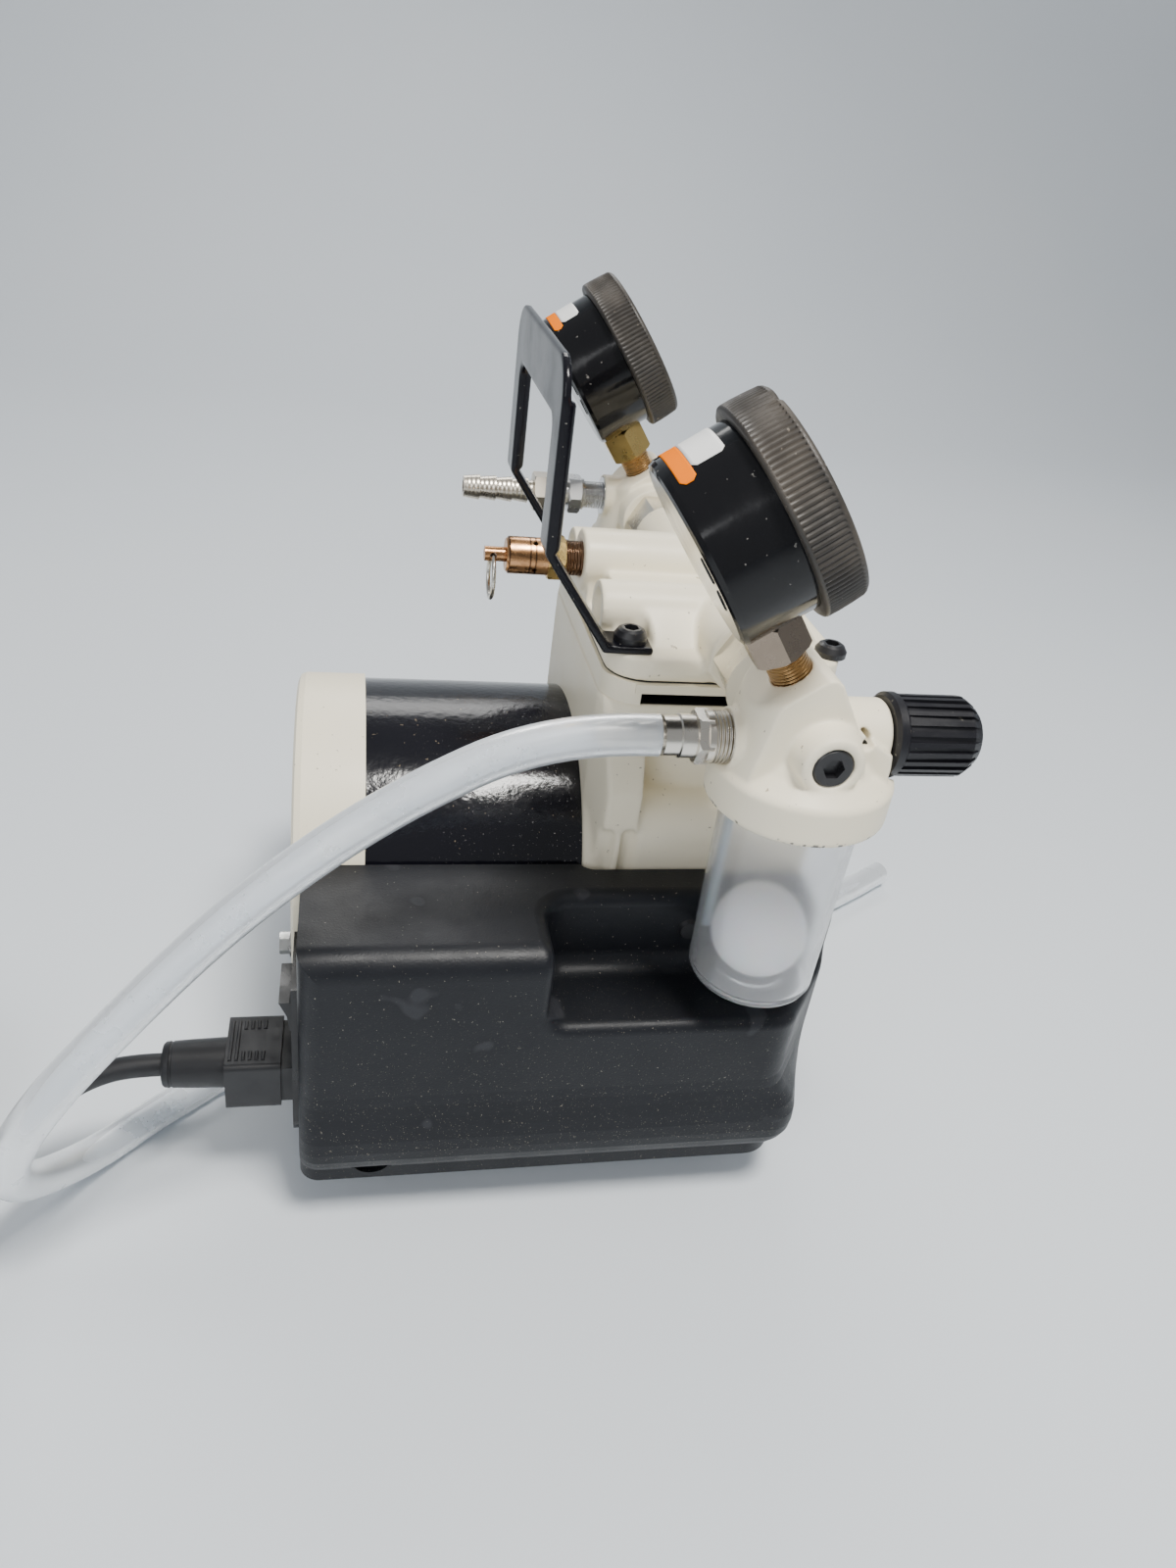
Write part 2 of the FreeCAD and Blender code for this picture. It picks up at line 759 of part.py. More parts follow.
def cord_exit_x():
    return base_rear - inlet_flange_thickness - 4.0 - connector_grip + 0.5 - strain_relief_length


# Motor


def motor_shell():
    return tube(motor_radius, shell_inner, motor_length, Vector(-motor_length, 0, shaft_z), X)


def rear_end_cap():
    """Cast end cap with a rounded rim, a bearing seat, cooling slots and two feet."""
    start = Vector(cap_rear, 0, shaft_z)
    s = math.sqrt(0.5)
    profile = [(0, cap_radius - cap_edge), (cap_edge * (1 - s), cap_radius - cap_edge * (1 - s)),
               (cap_edge, cap_radius),
               (cap_length, cap_radius)]
    body = turned(profile, start, X)
    wall = 5.0
    hollow = cyl(cap_radius - 5, cap_length - wall + 1, Vector(cap_rear + wall, 0, shaft_z), X)
    body = body.cut(hollow)
    seat = cyl(bearing_radius + 3.5, bearing_width + 2, Vector(cap_rear + 1, 0, shaft_z), X)
    feet = []
    for side in (-1, 1):
        y = side * mount_y
        feet.append(box(base_rear + base_wall + 0.5, -motor_length - 0.5, y - 11, y + 11, foot_pad_z(),
                        shaft_z - 36))
    body = body.fuse([seat] + feet)
    body = body.cut(cyl(cap_radius - 5, cap_length - wall - 2, Vector(cap_rear + wall, 0, shaft_z), X).cut(
        cyl(bearing_radius + 3.5, 100, Vector(cap_rear, 0, shaft_z), X)))
    body = body.cut(cyl(bearing_radius, 60, Vector(cap_rear + 3, 0, shaft_z), X))
    body = body.cut(cyl(shaft_radius + 1, 20, Vector(cap_rear + 2, 0, shaft_z), X))
    slots = []
    for i in range(12):
        slot = slab(cap_rear - 1, cap_rear + wall + 1, 1.6, 0.5, 0, 14)
        slot.translate(Z * 32)
        slot.rotate(Vector(0, 0, 0), X, 30 * i + 15)
        slot.translate(Z * shaft_z)
        slots.append(slot)
    body = body.cut(Part.makeCompound(slots))
    for y, z in cap_screw_places():
        body = body.cut(cyl(2.2, 60, Vector(cap_rear - 5, y, z), X))
    return body.removeSplitter()


def cap_screw_places():
    ring = cap_radius - 8.2
    angles = [math.radians(turn) for turn in (-7, 187, 235, 305)]
    return [(ring * math.cos(a), shaft_z + ring * math.sin(a)) for a in angles]


def end_cap_screws():
    pieces = []
    for y, z in cap_screw_places():
        seat = cap_rear - cap_screw_washer
        head = hex_bar(7.0, cap_screw_head, Vector(seat - cap_screw_head, y, z), X)
        washer = cyl(5.0, cap_screw_washer, Vector(seat, y, z), X)
        shank = cyl(2.1, cap_length - 8, Vector(cap_rear, y, z), X)
        pieces.append(fused(head, washer, shank))
    return Part.makeCompound(pieces)


def stator_core():
    start = Vector(-motor_length / 2 - stator_length / 2, 0, shaft_z)
    core = tube(shell_inner - 0.1, stator_bore, stator_length, start, X)
    slots = []
    for i in range(12):
        slot = slab(start.x - 1, start.x + stator_length + 1, 3.0, 1.0, 0, 14)
        slot.translate(Z * (stator_bore + 2.5))
        slot.rotate(Vector(0, 0, 0), X, 30 * i)
        slot.translate(Z * shaft_z)
        slots.append(slot)
    return core.cut(Part.makeCompound(slots))


def stator_windings():
    """The two end turns that stand out of the core."""
    rings = []
    for x, way in [(-motor_length / 2 - stator_length / 2, -1), (-motor_length / 2 + stator_length / 2, 1)]:
        ring = tube(winding_radius, stator_bore + 3, winding_length, Vector(x, 0, shaft_z), X * way)
        outer = [e for e in ring.Edges if at_x(e, x + way * winding_length)]
        rings.append(ring.makeFillet(3.0, outer))
    return Part.makeCompound(rings)


def rotor():
    start = Vector(-motor_length / 2 - rotor_length / 2, 0, shaft_z)
    core = tube(stator_bore - air_gap, shaft_radius, rotor_length, start, X)
    rings = []
    for x, way in [(start.x, -1), (start.x + rotor_length, 1)]:
        rings.append(tube(stator_bore - air_gap - 1.5, shaft_radius + 8, 5, Vector(x, 0, shaft_z), X * way))
    return core.fuse(rings)


def fan_x():
    return case_length - 17.0


def motor_shaft():
    """One shaft through motor and crankcase; it carries rotor, eccentric and fan."""
    rear = cap_rear + 4.0
    return turned([(0, shaft_radius - 0.8), (0.8, shaft_radius), (fan_x() + 13 - rear, shaft_radius)],
                  Vector(rear, 0, shaft_z), X)


def motor_bearings():
    rings = []
    for x in (cap_rear + 3.2, 2.0):
        rings.append(tube(bearing_radius - 0.02, shaft_radius + running_gap, bearing_width,
                          Vector(x, 0, shaft_z), X))
    return Part.makeCompound(rings)


def cooling_fan():
    """Pressed fan with pitched blades round a hub, clamped on the shaft's front end."""
    hub_length = 12.0
    hub = tube(12, shaft_radius, hub_length, Vector(fan_x(), 0, shaft_z), X)
    blades = []
    for i in range(fan_blades):
        blade = Part.makeBox(hub_length + 2, 1.4, fan_radius - 11, Vector(-hub_length / 2 - 1, -0.7, 11))
        blade.rotate(Vector(0, 0, 20), Z, 35)
        blade = blade.common(tube(fan_radius, 11, hub_length, Vector(-hub_length / 2, 0, 0), X))
        blade.rotate(Vector(0, 0, 0), X, 360.0 / fan_blades * i)
        blade.translate(Vector(fan_x() + hub_length / 2, 0, shaft_z))
        blades.append(blade)
    return hub.fuse(blades).removeSplitter()


# Crankcase and cylinder


def crankcase():
    """Casting that holds the front bearing, the rod and the fan, with the cylinder tower on top."""
    low = shaft_z
    bell = bell_wall()
    register = cyl(case_register_radius, case_bell_length, Vector(0, 0, low), X)
    w = case_half_width
    rear = case_bell_length - 1
    path = [(w, low, 0), (w, ledge_z, ledge_radius), (-w, ledge_z, ledge_radius), (-w, low, 0)]
    block = Part.Face(rounded_path(path)).extrude(X * (case_length - rear))
    block.translate(X * rear)
    round_low = cyl(w, case_length - rear, Vector(rear, 0, low), X)
    tower = cyl(tower_radius, case_top - ledge_z + 3, Vector(cylinder_x, 0, ledge_z - 3), Z)
    tower = tower.common(box(case_bell_length / 2, 200, -100, 100, 0, 200))
    flange = slab(head_rear, head_front, head_half_width, head_corner, case_top - 9, case_top)
    flare = slab(case_bell_length - 2, head_front - 4, 38, 8, ledge_z - 3, case_top - 2)
    pads = []
    for side in (-1, 1):
        y = side * mount_y
        pads.append(box(mount_xs[1] - 11, mount_xs[1] + 11, y - 11, y + 11, foot_pad_z(), low - 30))
    body = bell.fuse([register, block, round_low, tower, flange, flare] + pads)
    cavity = cyl(cavity_radius, case_length - cavity_rear + 1, Vector(cavity_rear, 0, low), X)
    bore = cyl(tower_bore, case_top - bore_low + 1, Vector(cylinder_x, 0, bore_low), Z)
    seat = cyl(bearing_radius, bearing_width + 0.2, Vector(2, 0, low), X)
    passage = cyl(shaft_radius + 2, 60, Vector(-5, 0, low), X)
    spigot = cyl(shell_inner - 6, 2, Vector(-1, 0, low), X)
    cuts = [cavity, bore, seat, passage, spigot]
    for x, y in bolt_places():
        cuts.append(cyl(bolt_radius, 30, Vector(x, y, case_top - 14), Z))
    for y, z in cover_screw_places():
        cuts.append(cyl(cover_screw_radius, 8.5, Vector(case_length - 8, y, z), X))
    for side in (-1, 1):
        y0, y1 = sorted((side * (w - 2.5), side * (w + 5)))
        for x in case_slot_xs:
            cuts.append(cyl(case_slot_radius, y1 - y0, Vector(x, y0, case_slot_top), Y))
            cuts.append(box(x - case_slot_radius, x + case_slot_radius, y0, y1, 80, case_slot_top))
    return body.cut(Part.makeCompound(cuts)).removeSplitter()


def bell_wall():
    """Upright wall behind the cylinder; its sides lean in at the top and turn forward at the corners."""
    low = shaft_z
    r = case_bell_radius
    right = [Vector(0, -r, low), Vector(0, -r, shoulder_z - 14), Vector(0, -shoulder_half, case_top)]
    left = [Vector(0, shoulder_half, case_top), Vector(0, r, shoulder_z - 14), Vector(0, r, low)]
    corners = right + left
    edges = [Part.LineSegment(a, b).toShape() for a, b in zip(corners, corners[1:])]
    edges.append(Part.Arc(left[-1], Vector(0, 0, low - r), right[0]).toShape())
    wall = Part.Face(Part.Wire(edges)).extrude(X * case_bell_length)
    for side in (-1, 1):
        turn = [Vector(-1, side * 41, 0), Vector(-1, side * 90, 0),
                Vector(case_corner_turn, side * (r + 1), 0)]
        wall = wall.cut(prism(turn, Z * 300))
    return wall


def front_cover():
    """Round cover over the crankcase's open front, with air slots for the fan."""
    start = Vector(case_length, 0, shaft_z)
    cover = turned([(0, cover_radius), (cover_thickness - 1, cover_radius),
                    (cover_thickness, cover_radius - 1)], start, X)
    slots = []
    for ring, count in [(13.0, 6), (22.0, 12), (31.0, 12)]:
        for i in range(count):
            slot = slab(case_length - 1, case_length + cover_thickness + 1, 1.8, 0.5, 0, 6.5)
            slot.translate(Z * (ring - 3))
            slot.rotate(Vector(0, 0, 0), X, 360.0 / count * i)
            slot.translate(Z * shaft_z)
            slots.append(slot)
    for y, z in cover_screw_places():
        slots.append(cyl(cover_screw_radius, 20, Vector(case_length - 1, y, z), X))
    return cover.cut(Part.makeCompound(slots))


def eccentric():
    """Eccentric for the rod, with a counterweight opposite its throw."""
    x0 = cylinder_x - rod_width / 2 - 1.5
    hub = cyl(eccentric_radius, rod_width + 3, Vector(x0, 0, crank_z), X)
    x1 = x0 + rod_width + 3
    weight = cyl(32, 8, Vector(x1, 0, shaft_z), X).common(box(x1, x1 + 8, -40, 40, shaft_z - 40, shaft_z - 2))
    boss = cyl(eccentric_radius + throw + 1.5, 8, Vector(x1, 0, shaft_z), X)
    piece = hub.fuse([weight, boss])
    return piece.cut(cyl(shaft_radius, 60, Vector(x0 - 5, 0, shaft_z), X)).removeSplitter()


def rod_bearing():
    return tube(rod_bearing_radius - 0.02, eccentric_radius + running_gap, rod_width - 1,
                Vector(cylinder_x - rod_width / 2 + 0.5, 0, crank_z), X)


def connecting_rod():
    """Ring on the rod bearing, a flat shank and the piston plate in one casting."""
    x0 = cylinder_x - rod_width / 2
    ring = cyl(rod_bearing_radius + rod_ring, rod_width, Vector(x0, 0, crank_z), X)
    plate_low = crown_top - cup_height - crown_thickness
    shank = prism([Vector(x0 + 1, -9, crank_z + 20), Vector(x0 + 1, 9, crank_z + 20),
                   Vector(x0 + 1, 7, plate_low + 1),
                   Vector(x0 + 1, -7, plate_low + 1)], X * (rod_width - 2))
    plate = cyl(piston_radius(), crown_thickness, Vector(cylinder_x, 0, plate_low), Z)
    rod = ring.fuse([shank, plate])
    rod = rod.cut(cyl(rod_bearing_radius, rod_width + 2, Vector(x0 - 1, 0, crank_z), X))
    return rod.cut(cyl(2.5, 30, Vector(cylinder_x, 0, crown_top - 20), Z)).removeSplitter()


def piston_radius():
    """The rigid plate stays clear of the cylinder while it swings with the eccentric."""
    return bore_radius - throw - 0.6


def piston_cup():
    """Sealing cup: a thin dish whose lip rubs the cylinder wall."""
    low = crown_top - cup_height
    disc = cyl(piston_radius(), 1.0, Vector(cylinder_x, 0, low), Z)
    lip = cone(piston_radius(), cup_radius, cup_height - 1, Vector(cylinder_x, 0, low), Z)
    inner = cone(piston_radius() - 1, cup_radius - 1, cup_height - 1, Vector(cylinder_x, 0, low + 1), Z)
    cup = lip.fuse([disc]).cut(inner)
    return cup.cut(cyl(2.6, 20, Vector(cylinder_x, 0, low - 5), Z))


def cup_retainer():
    """Disc and screw that clamp the cup on the rod."""
    low = crown_top - cup_height + 1.0
    disc = cyl(piston_radius() - 1.6, 2.0, Vector(cylinder_x, 0, low), Z)
    head = cyl(4.5, 1.6, Vector(cylinder_x, 0, low + 2), Z)
    shank = cyl(2.4, 12, Vector(cylinder_x, 0, low - 12), Z)
    return fused(disc, head, shank)


def cylinder_sleeve():
    """Thin-walled cylinder with cooling fins, hung by its top flange."""
    r = bore_radius + sleeve_wall
    body = cyl(r, case_top - sleeve_bottom, Vector(cylinder_x, 0, sleeve_bottom), Z)
    fins = []
    for i in range(fin_count):
        z = sleeve_bottom + 8 + i * 8
        fins.append(cyl(fin_radius, 1.8, Vector(cylinder_x, 0, z), Z))
    flange = cyl(tower_bore - 0.3, 2.5, Vector(cylinder_x, 0, case_top - 2.5), Z)
    body = body.fuse(fins + [flange])
    return body.cut(cyl(bore_radius, 60, Vector(cylinder_x, 0, sleeve_bottom - 1), Z)).removeSplitter()


# Head


def plate_outline(z0, z1, grow):
    return slab(head_rear - grow, head_front + grow, head_half_width + grow, head_corner, z0, z1)


def bolt_places():
    return [(x, y) for x in (bolt_rear_x, bolt_front_x) for y in (-bolt_y, bolt_y)]


def bolt_holes(z0, z1):
    return Part.makeCompound([cyl(bolt_radius + 0.3, z1 - z0, Vector(x, y, z0), Z) for x, y in bolt_places()])


def valve_plate():
    """Plate with the intake ports on one side and the exhaust ports on the other."""
    plate = plate_outline(case_top, valve_plate_top, 0.6)
    holes = []
    for side in (-1, 1):
        for turn in (-14, 14):
            a = math.radians(turn)
            x = cylinder_x + 12.5 * math.sin(a)
            y = side * 12.5 * math.cos(a)
            holes.append(cyl(1.9, 30, Vector(x, y, case_top - 1), Z))
    relief = cyl(19, 1.2, Vector(cylinder_x, 0, case_top - 0.1), Z)
    y0 = -head_half_width - 0.6 - tab_stand
    tab = box(tab_rear - 4, tab_front, y0, -head_half_width, valve_plate_top - 3.2, valve_plate_top)
    plate = plate.fuse([tab, mirrored(tab)])
    for side in (-1, 1):
        y0, y1 = sorted((side * air_slot_depth_y, side * (head_half_width + 3)))
        holes.append(box(air_slot_rear, air_slot_front, y0, y1, case_top - 1, case_top + air_slot_height))
    return plate.cut(Part.makeCompound(holes)).cut(relief).cut(bolt_holes(case_top - 1, valve_plate_top + 1))


def reed_valves():
    """Two spring-steel reeds: intake under the plate, exhaust on top of it."""
    reeds = []
    for side, z in [(-1, case_top + 0.9), (1, valve_plate_top + 0.02)]:
        root = slab(cylinder_x - 9, cylinder_x + 9, 2.2, 2.1, z, z + 0.2)
        root.translate(Y * side * 4.0)
        petal = cyl(5.5, 0.2, Vector(cylinder_x, side * 12, z), Z)
        arm = box(cylinder_x - 3, cylinder_x + 3, min(side * 4, side * 12), max(side * 4, side * 12), z,
                  z + 0.2)
        reeds.append(fused(root, petal, arm))
    return Part.makeCompound(reeds)


def head_gasket():
    gasket = plate_outline(valve_plate_top, gasket_top, -0.6)
    inner = slab(head_rear + 12, head_front - 12, 38, 8, 0, 300)
    divider = box(head_rear + 2, head_front - 2, -1.2, 1.2, valve_plate_top, gasket_top)
    return gasket.cut(inner).fuse([divider]).cut(bolt_holes(valve_plate_top - 1,
                                                            gasket_top + 1)).removeSplitter()


def cylinder_head():
    """Cast head: flange, domed chambers, the boss for the relief valve and two side bosses."""
    flange = plate_outline(gasket_top, head_top, 0)
    dome_rear = head_rear + 3
    dome_front = head_front - 5
    foot = rounded_rect(dome_rear, dome_front, -head_half_width + 7, head_half_width - 7, head_top - 1, 10,
                        10)
    crest = rounded_rect(dome_rear + 2, dome_front - 9, -head_half_width + 22, head_half_width - 22,
                         head_top + head_dome, 10, 10)
    dome = Part.makeLoft([foot, crest], True, True)
    pockets = []
    for x, y in bolt_places():
        pockets.append(cone(8.0, 12.5, 20, Vector(x, y, head_top), Z))
    for side in (-1, 1):
        y0, y1 = sorted((side * (handle_half - handle_leg_width / 2 - 0.6), side * (head_half_width + 1)))
        pockets.append(box(head_rear - 5, handle_tab_end + 0.6, y0, y1, head_top, head_top + 20))
    dome = dome.cut(Part.makeCompound(pockets))
    main = cyl(main_boss_radius, head_front - 8 - boss_rear, Vector(boss_rear, 0, main_boss_z), X)
    main_web = box(boss_rear + 2, head_front - 9, -main_boss_radius + 1, main_boss_radius - 1,
                   head_top - 2, main_boss_z)
    bosses = [main, main_web]
    for side in (-1, 1):
        length = head_front - 24 - head_rear
        boss = cyl(side_boss_radius, length, Vector(head_rear - 1.0, side * side_boss_y, side_boss_z), X)
        web = box(head_rear + 1, head_rear + length - 3, side * side_boss_y - side_boss_radius + 1.5,
                  side * side_boss_y + side_boss_radius - 1.5, head_top - 2, side_boss_z)
        port = cyl(port_boss_radius, 30, Vector(port_x, side * (head_half_width - 26), port_z), Y * side)
        port_web = box(port_x - port_boss_radius, port_x + port_boss_radius,
                       min(side * 29, side * (head_half_width + 3)),
                       max(side * 29, side * (head_half_width + 3)), head_top - 3, port_z)
        bosses += [boss, web, port, port_web]
    tab = box(tab_rear, tab_front, -head_half_width - tab_stand, -head_half_width + 1, gasket_top + 2.5,
              head_top - 1.5)
    head = flange.fuse([dome, tab, mirrored(tab)] + bosses)
    cuts = [cyl(relief_thread_radius + 0.05, relief_thread_length + 8,
                Vector(boss_rear - 1, 0, main_boss_z), X)]
    for side in (-1, 1):
        cuts.append(cyl(side_boss_radius - 3, 4, Vector(head_rear - 2, side * side_boss_y, side_boss_z), X))
        cuts.append(cyl(nipple_radius, 18, Vector(port_x, side * (head_half_width + 4), port_z), Y * -side))
        chamber = slab(head_rear + 13, head_front - 13, 17, 6, gasket_top - 1, head_top + 3)
        chamber.translate(Y * side * 20)
        cuts.append(chamber)
    below = plate_outline(case_top - 20, gasket_top, 1.8)
    head = head.cut(below).cut(Part.makeCompound(cuts)).cut(bolt_holes(gasket_top - 1, head_top + 30))
    return head.removeSplitter()


def bolt_seat(x):
    """The rear bolts also clamp the handle's feet."""
    return head_top + (handle_thickness if x == bolt_rear_x else 0)


def head_bolts():
    bolts = []
    for x, y in bolt_places():
        z = bolt_seat(x)
        base = case_top - 14.0
        shank = cyl(bolt_radius, z - base, Vector(x, y, base), Z)
        profile = [(0, bolt_head_radius), (bolt_head_height * 0.45, bolt_head_radius),
                   (bolt_head_height * 0.85, bolt_head_radius * 0.8), (bolt_head_height,
                                                                       bolt_head_radius * 0.6)]
        head = turned(profile, Vector(x, y, z), Z)
        head = head.cut(hexagon(4.6, 3, Vector(x, y, z + bolt_head_height - 2.2), Z))
        bolts.append(head.fuse([shank]).removeSplitter())
    return Part.makeCompound(bolts)


# Relief valve


def relief_valve():
    """Threaded brass body with a hexagon, drilled round its barrel; hollow for stem and spring."""
    start = Vector(relief_face, 0, main_boss_z)
    back = X * -1
    thread = cyl(relief_thread_radius, relief_thread_length, start, X)
    neck = cyl(relief_thread_radius, 6.0, start, back)
    hex_part = hex_bar(relief_hex_flats, relief_hex_length, start - X * 6.0, back)
    barrel_start = start - X * (6.0 + relief_hex_length)
    barrel = turned([(0, relief_radius), (relief_body_length - 1, relief_radius),
                     (relief_body_length, relief_radius - 1)],
                    barrel_start, back)
    body = fused(thread, neck, hex_part, barrel)
    stem_bore = cyl(relief_stem_radius + running_gap, 60, Vector(stem_tip - 10, 0, main_boss_z), X)
    body = body.cut(stem_bore)
    chamber = cyl(relief_radius - 1.6, relief_body_length + 2, barrel_start + X * 4.0, back)
    body = body.cut(chamber)
    holes = []
    for i in range(4):
        hole = cyl(0.9, 10, Vector(0, 0, 0), Z)
        hole.rotate(Vector(0, 0, 0), X, 90 * i + 30)
        hole.translate(barrel_start - X * 5.0)
        holes.append(hole)
    return body.cut(Part.makeCompound(holes))


def relief_stem():
    """Stem that lifts off its seat when the ring is pulled, with an eye for the ring."""
    tip = Vector(stem_tip, 0, main_boss_z)
    stem = cyl(relief_stem_radius, relief_stem_out + relief_body_length + 6, tip, X)
    collar = cyl(relief_radius - 1.9, 1.5, tip + X * (relief_stem_out + relief_body_length - 3), X)
    stem = stem.fuse([collar])
    return stem.cut(cyl(ring_wire + 0.5, 20, Vector(ring_hole_x, -10, main_boss_z), Y)).removeSplitter()


def pull_ring():
    """Wire ring hanging in the eye of the stem."""
    centre = Vector(ring_hole_x, 0, main_boss_z - ring_radius)
    return Part.makeTorus(ring_radius, ring_wire, centre, X)


def relief_spring():
    start = Vector(stem_tip + relief_stem_out + 2.05, 0, main_boss_z)
    length = relief_body_length - 3 - 2.05 - relief_lift - 0.15
    return tube(relief_stem_radius + 1.2, relief_stem_radius + 0.5, length, start, X)


# Regulators


def hex_nipples():
    """Hexagon nipples that join the head's side ports to the regulators."""
    pieces = []
    for side in (-1, 1):
        y0 = head_half_width + 4.0
        y1 = regulator_y - regulator_inner_face
        bar = hex_bar(hex_nipple_flats, y1 - y0, Vector(port_x, side * y0, port_z), Y * side)
        inner = cyl(nipple_radius - 0.05, 12, Vector(port_x, side * y0, port_z), Y * -side)
        outer = cyl(nipple_radius - 0.05, 9, Vector(port_x, side * y1, port_z), Y * side)
        piece = fused(bar, inner, outer)
        pieces.append(piece.cut(cyl(4.0, 80, Vector(port_x, side * (y0 - 20), port_z), Y * side)))
    return Part.makeCompound(pieces)


def regulator_body(side):
    """Die-cast regulator, drawn for the right side: collar, sloping gauge face, knob neck and bosses."""
    c = Vector(regulator_x, -regulator_y, regulator_bottom)
    r = regulator_radius
    h = collar_height
    collar = turned([(0, r - 0.8), (0.8, r), (h - 1.2, r), (h, r - 0.9), (h + 1.6, r - 3.4),
                     (h + 4.2, r - 6.6),
                     (h + collar_cone, r - 9.8)], c, Z)
    port = Vector(gauge_port_x, -regulator_y, gauge_port_z)
    along = Vector(stem_axis.z, 0, -stem_axis.x)
    low = port - along * 17.0
    high = port + along * 8.5
    tower_low = regulator_bottom + h - 1
    outline = [
        Vector(rear_port_x, 0, tower_low),
        Vector(rear_port_x, 0, low.z - 3.5),
        Vector(low.x, 0, low.z),
        Vector(high.x, 0, high.z),
        Vector(high.x + 3.5, 0, high.z - 2.0),
        Vector(high.x + 12, 0, knob_z + neck_radius - 3),
        Vector(regulator_x + r - 7, 0, knob_z),
        Vector(regulator_x + r - 7, 0, tower_low),
    ]
    outline = [Vector(p.x, -regulator_y - tower_half, p.z) for p in outline]
    tower = prism(outline, Y * (2 * tower_half))
    cheeks = cone(r - 1.0, tower_half + 4.5, 50, c + Z * (h - 4), Z)
    tower = round_edges(tower.common(cheeks), 3.0,
                        lambda e: e.BoundBox.YLength > 12 and e.BoundBox.ZMin > knob_z + 6)
    neck = cyl(neck_radius, neck_end - regulator_x, Vector(regulator_x, -regulator_y, knob_z), X)
    neck = round_edges(neck, 1.5, lambda e: at_x(e, neck_end))
    boss = cone(plug_boss_radius + 6, plug_boss_radius, plug_boss_out,
                Vector(plug_x, -regulator_y, plug_z), Y * -1)
    inner = cyl(14.0, regulator_inner_face, Vector(port_x, -regulator_y, port_z), Y)
    port_height = rear_port_z if side < 0 else rear_port_z_left
    rear = cyl(9.2, 14, Vector(rear_port_x, -regulator_y, port_height), X)
    body = collar.fuse([tower, neck, boss, inner, rear])
    spot_face = Vector(port_x, -regulator_y + regulator_inner_face, port_z)
    cuts = [
        cyl(hex_nipple_flats / math.sqrt(3) + 0.5, 30, spot_face, Y),
        cyl(gauge_thread_radius + 0.05, 12, port + stem_axis * 1, stem_axis * -1),
        cyl(rear_thread_radius + 0.05, 12, Vector(rear_port_x - 1, -regulator_y, port_height), X),
        cyl(plug_radius + 0.05, 9, Vector(plug_x, -regulator_y - plug_boss_out - 1, plug_z), Y),
        cyl(nipple_radius, 12, Vector(port_x, -regulator_y + regulator_inner_face + 1, port_z), Y * -1),
        cyl(jar_thread_radius(), jar_neck_height + 1, c - Z * 1, Z),
        cyl(6, 16, c, Z),
        cyl(knob_spindle_radius + running_gap, 40, Vector(neck_end - 14, -regulator_y, knob_z), X),
        cyl(vent_radius, 30, Vector(vent_x, -regulator_y, vent_z), Y * -1),
        cyl(knob_radius + knob_clearance, knob_length, Vector(neck_end, -regulator_y, knob_z), X),
    ]
    body = body.cut(Part.makeCompound(cuts)).removeSplitter()
    return hand_of(body, side)


def jar_thread_radius():
    return jar_radius + 0.4


def hand_of(piece, side):
    return piece if side < 0 else mirrored(piece)


def port_plugs():
    """Socket plugs in the outer bosses of both regulators."""
    plugs = []
    for side in (-1, 1):
        face = regulator_y + plug_boss_out
        plug = cyl(plug_radius, 7, Vector(plug_x, side * (face + 0.4), plug_z), Y * -side)
        socket = hexagon(5.0, 4.5, Vector(plug_x, side * (face + 0.4), plug_z), Y * -side)
        plugs.append(plug.cut(socket))
    return Part.makeCompound(plugs)


def knob(side):
    """Ribbed adjusting knob with its spindle."""
    start = Vector(neck_end + knob_gap, side * regulator_y, knob_z)
    flange = turned([(0, knob_radius - 1.2), (1.0, knob_radius), (3.4, knob_radius),
                     (4.4, knob_radius - 0.9)], start, X)
    core = turned([(4.0, knob_radius - 1.3), (knob_length - 5, knob_radius - 1.9),
                   (knob_length - 1.5, knob_radius - 4.0),
                   (knob_length, knob_radius - 6.5)], start, X)
    ribs = []
    for i in range(knob_ribs):
        rib = Part.makeBox(knob_length - 7, 1.5, 2.6, Vector(4, -0.75, knob_radius - 3.2))
        rib.rotate(Vector(0, 0, 0), X, 360.0 / knob_ribs * i)
        rib.translate(start)
        ribs.append(rib)
    envelope = turned([(0, knob_radius), (knob_length - 6, knob_radius - 0.5),
                       (knob_length - 2.5, knob_radius - 2.8),
                       (knob_length, knob_radius - 5)], start, X)
    spindle = cyl(knob_spindle_radius, 14, start + X * 1, X * -1)
    ribbed = core.fuse(ribs).common(envelope)
    return flange.fuse([ribbed, spindle]).removeSplitter()


# Gauges


def gauge_at(side):
    """Point on the stem's axis level with the dial centre."""
    port = Vector(gauge_port_x, side * regulator_y, gauge_port_z)
    return port + stem_axis * gauge_reach


def gauge_stems():
    stems = []
    for side in (-1, 1):
        port = Vector(gauge_port_x, side * regulator_y, gauge_port_z)
        thread = cyl(gauge_thread_radius, gauge_thread_length + 8, port - stem_axis * 8, stem_axis)
        length = gauge_reach - gauge_case_radius - gauge_thread_length + 1.2
        bar = hex_bar(gauge_stem_flats, length, port + stem_axis * gauge_thread_length, stem_axis)
        can = cyl(gauge_case_radius + 0.02, 80, gauge_at(side) - dial_axis * 40, dial_axis)
        bar = bar.cut(can)
        neck = cyl(5.5, 8, port + stem_axis * (gauge_reach - gauge_case_radius - 1), stem_axis)
        stem = fused(thread, bar, neck)
        stems.append(stem.cut(cyl(1.5, 60, port - stem_axis * 10, stem_axis)))
    return Part.makeCompound(stems)


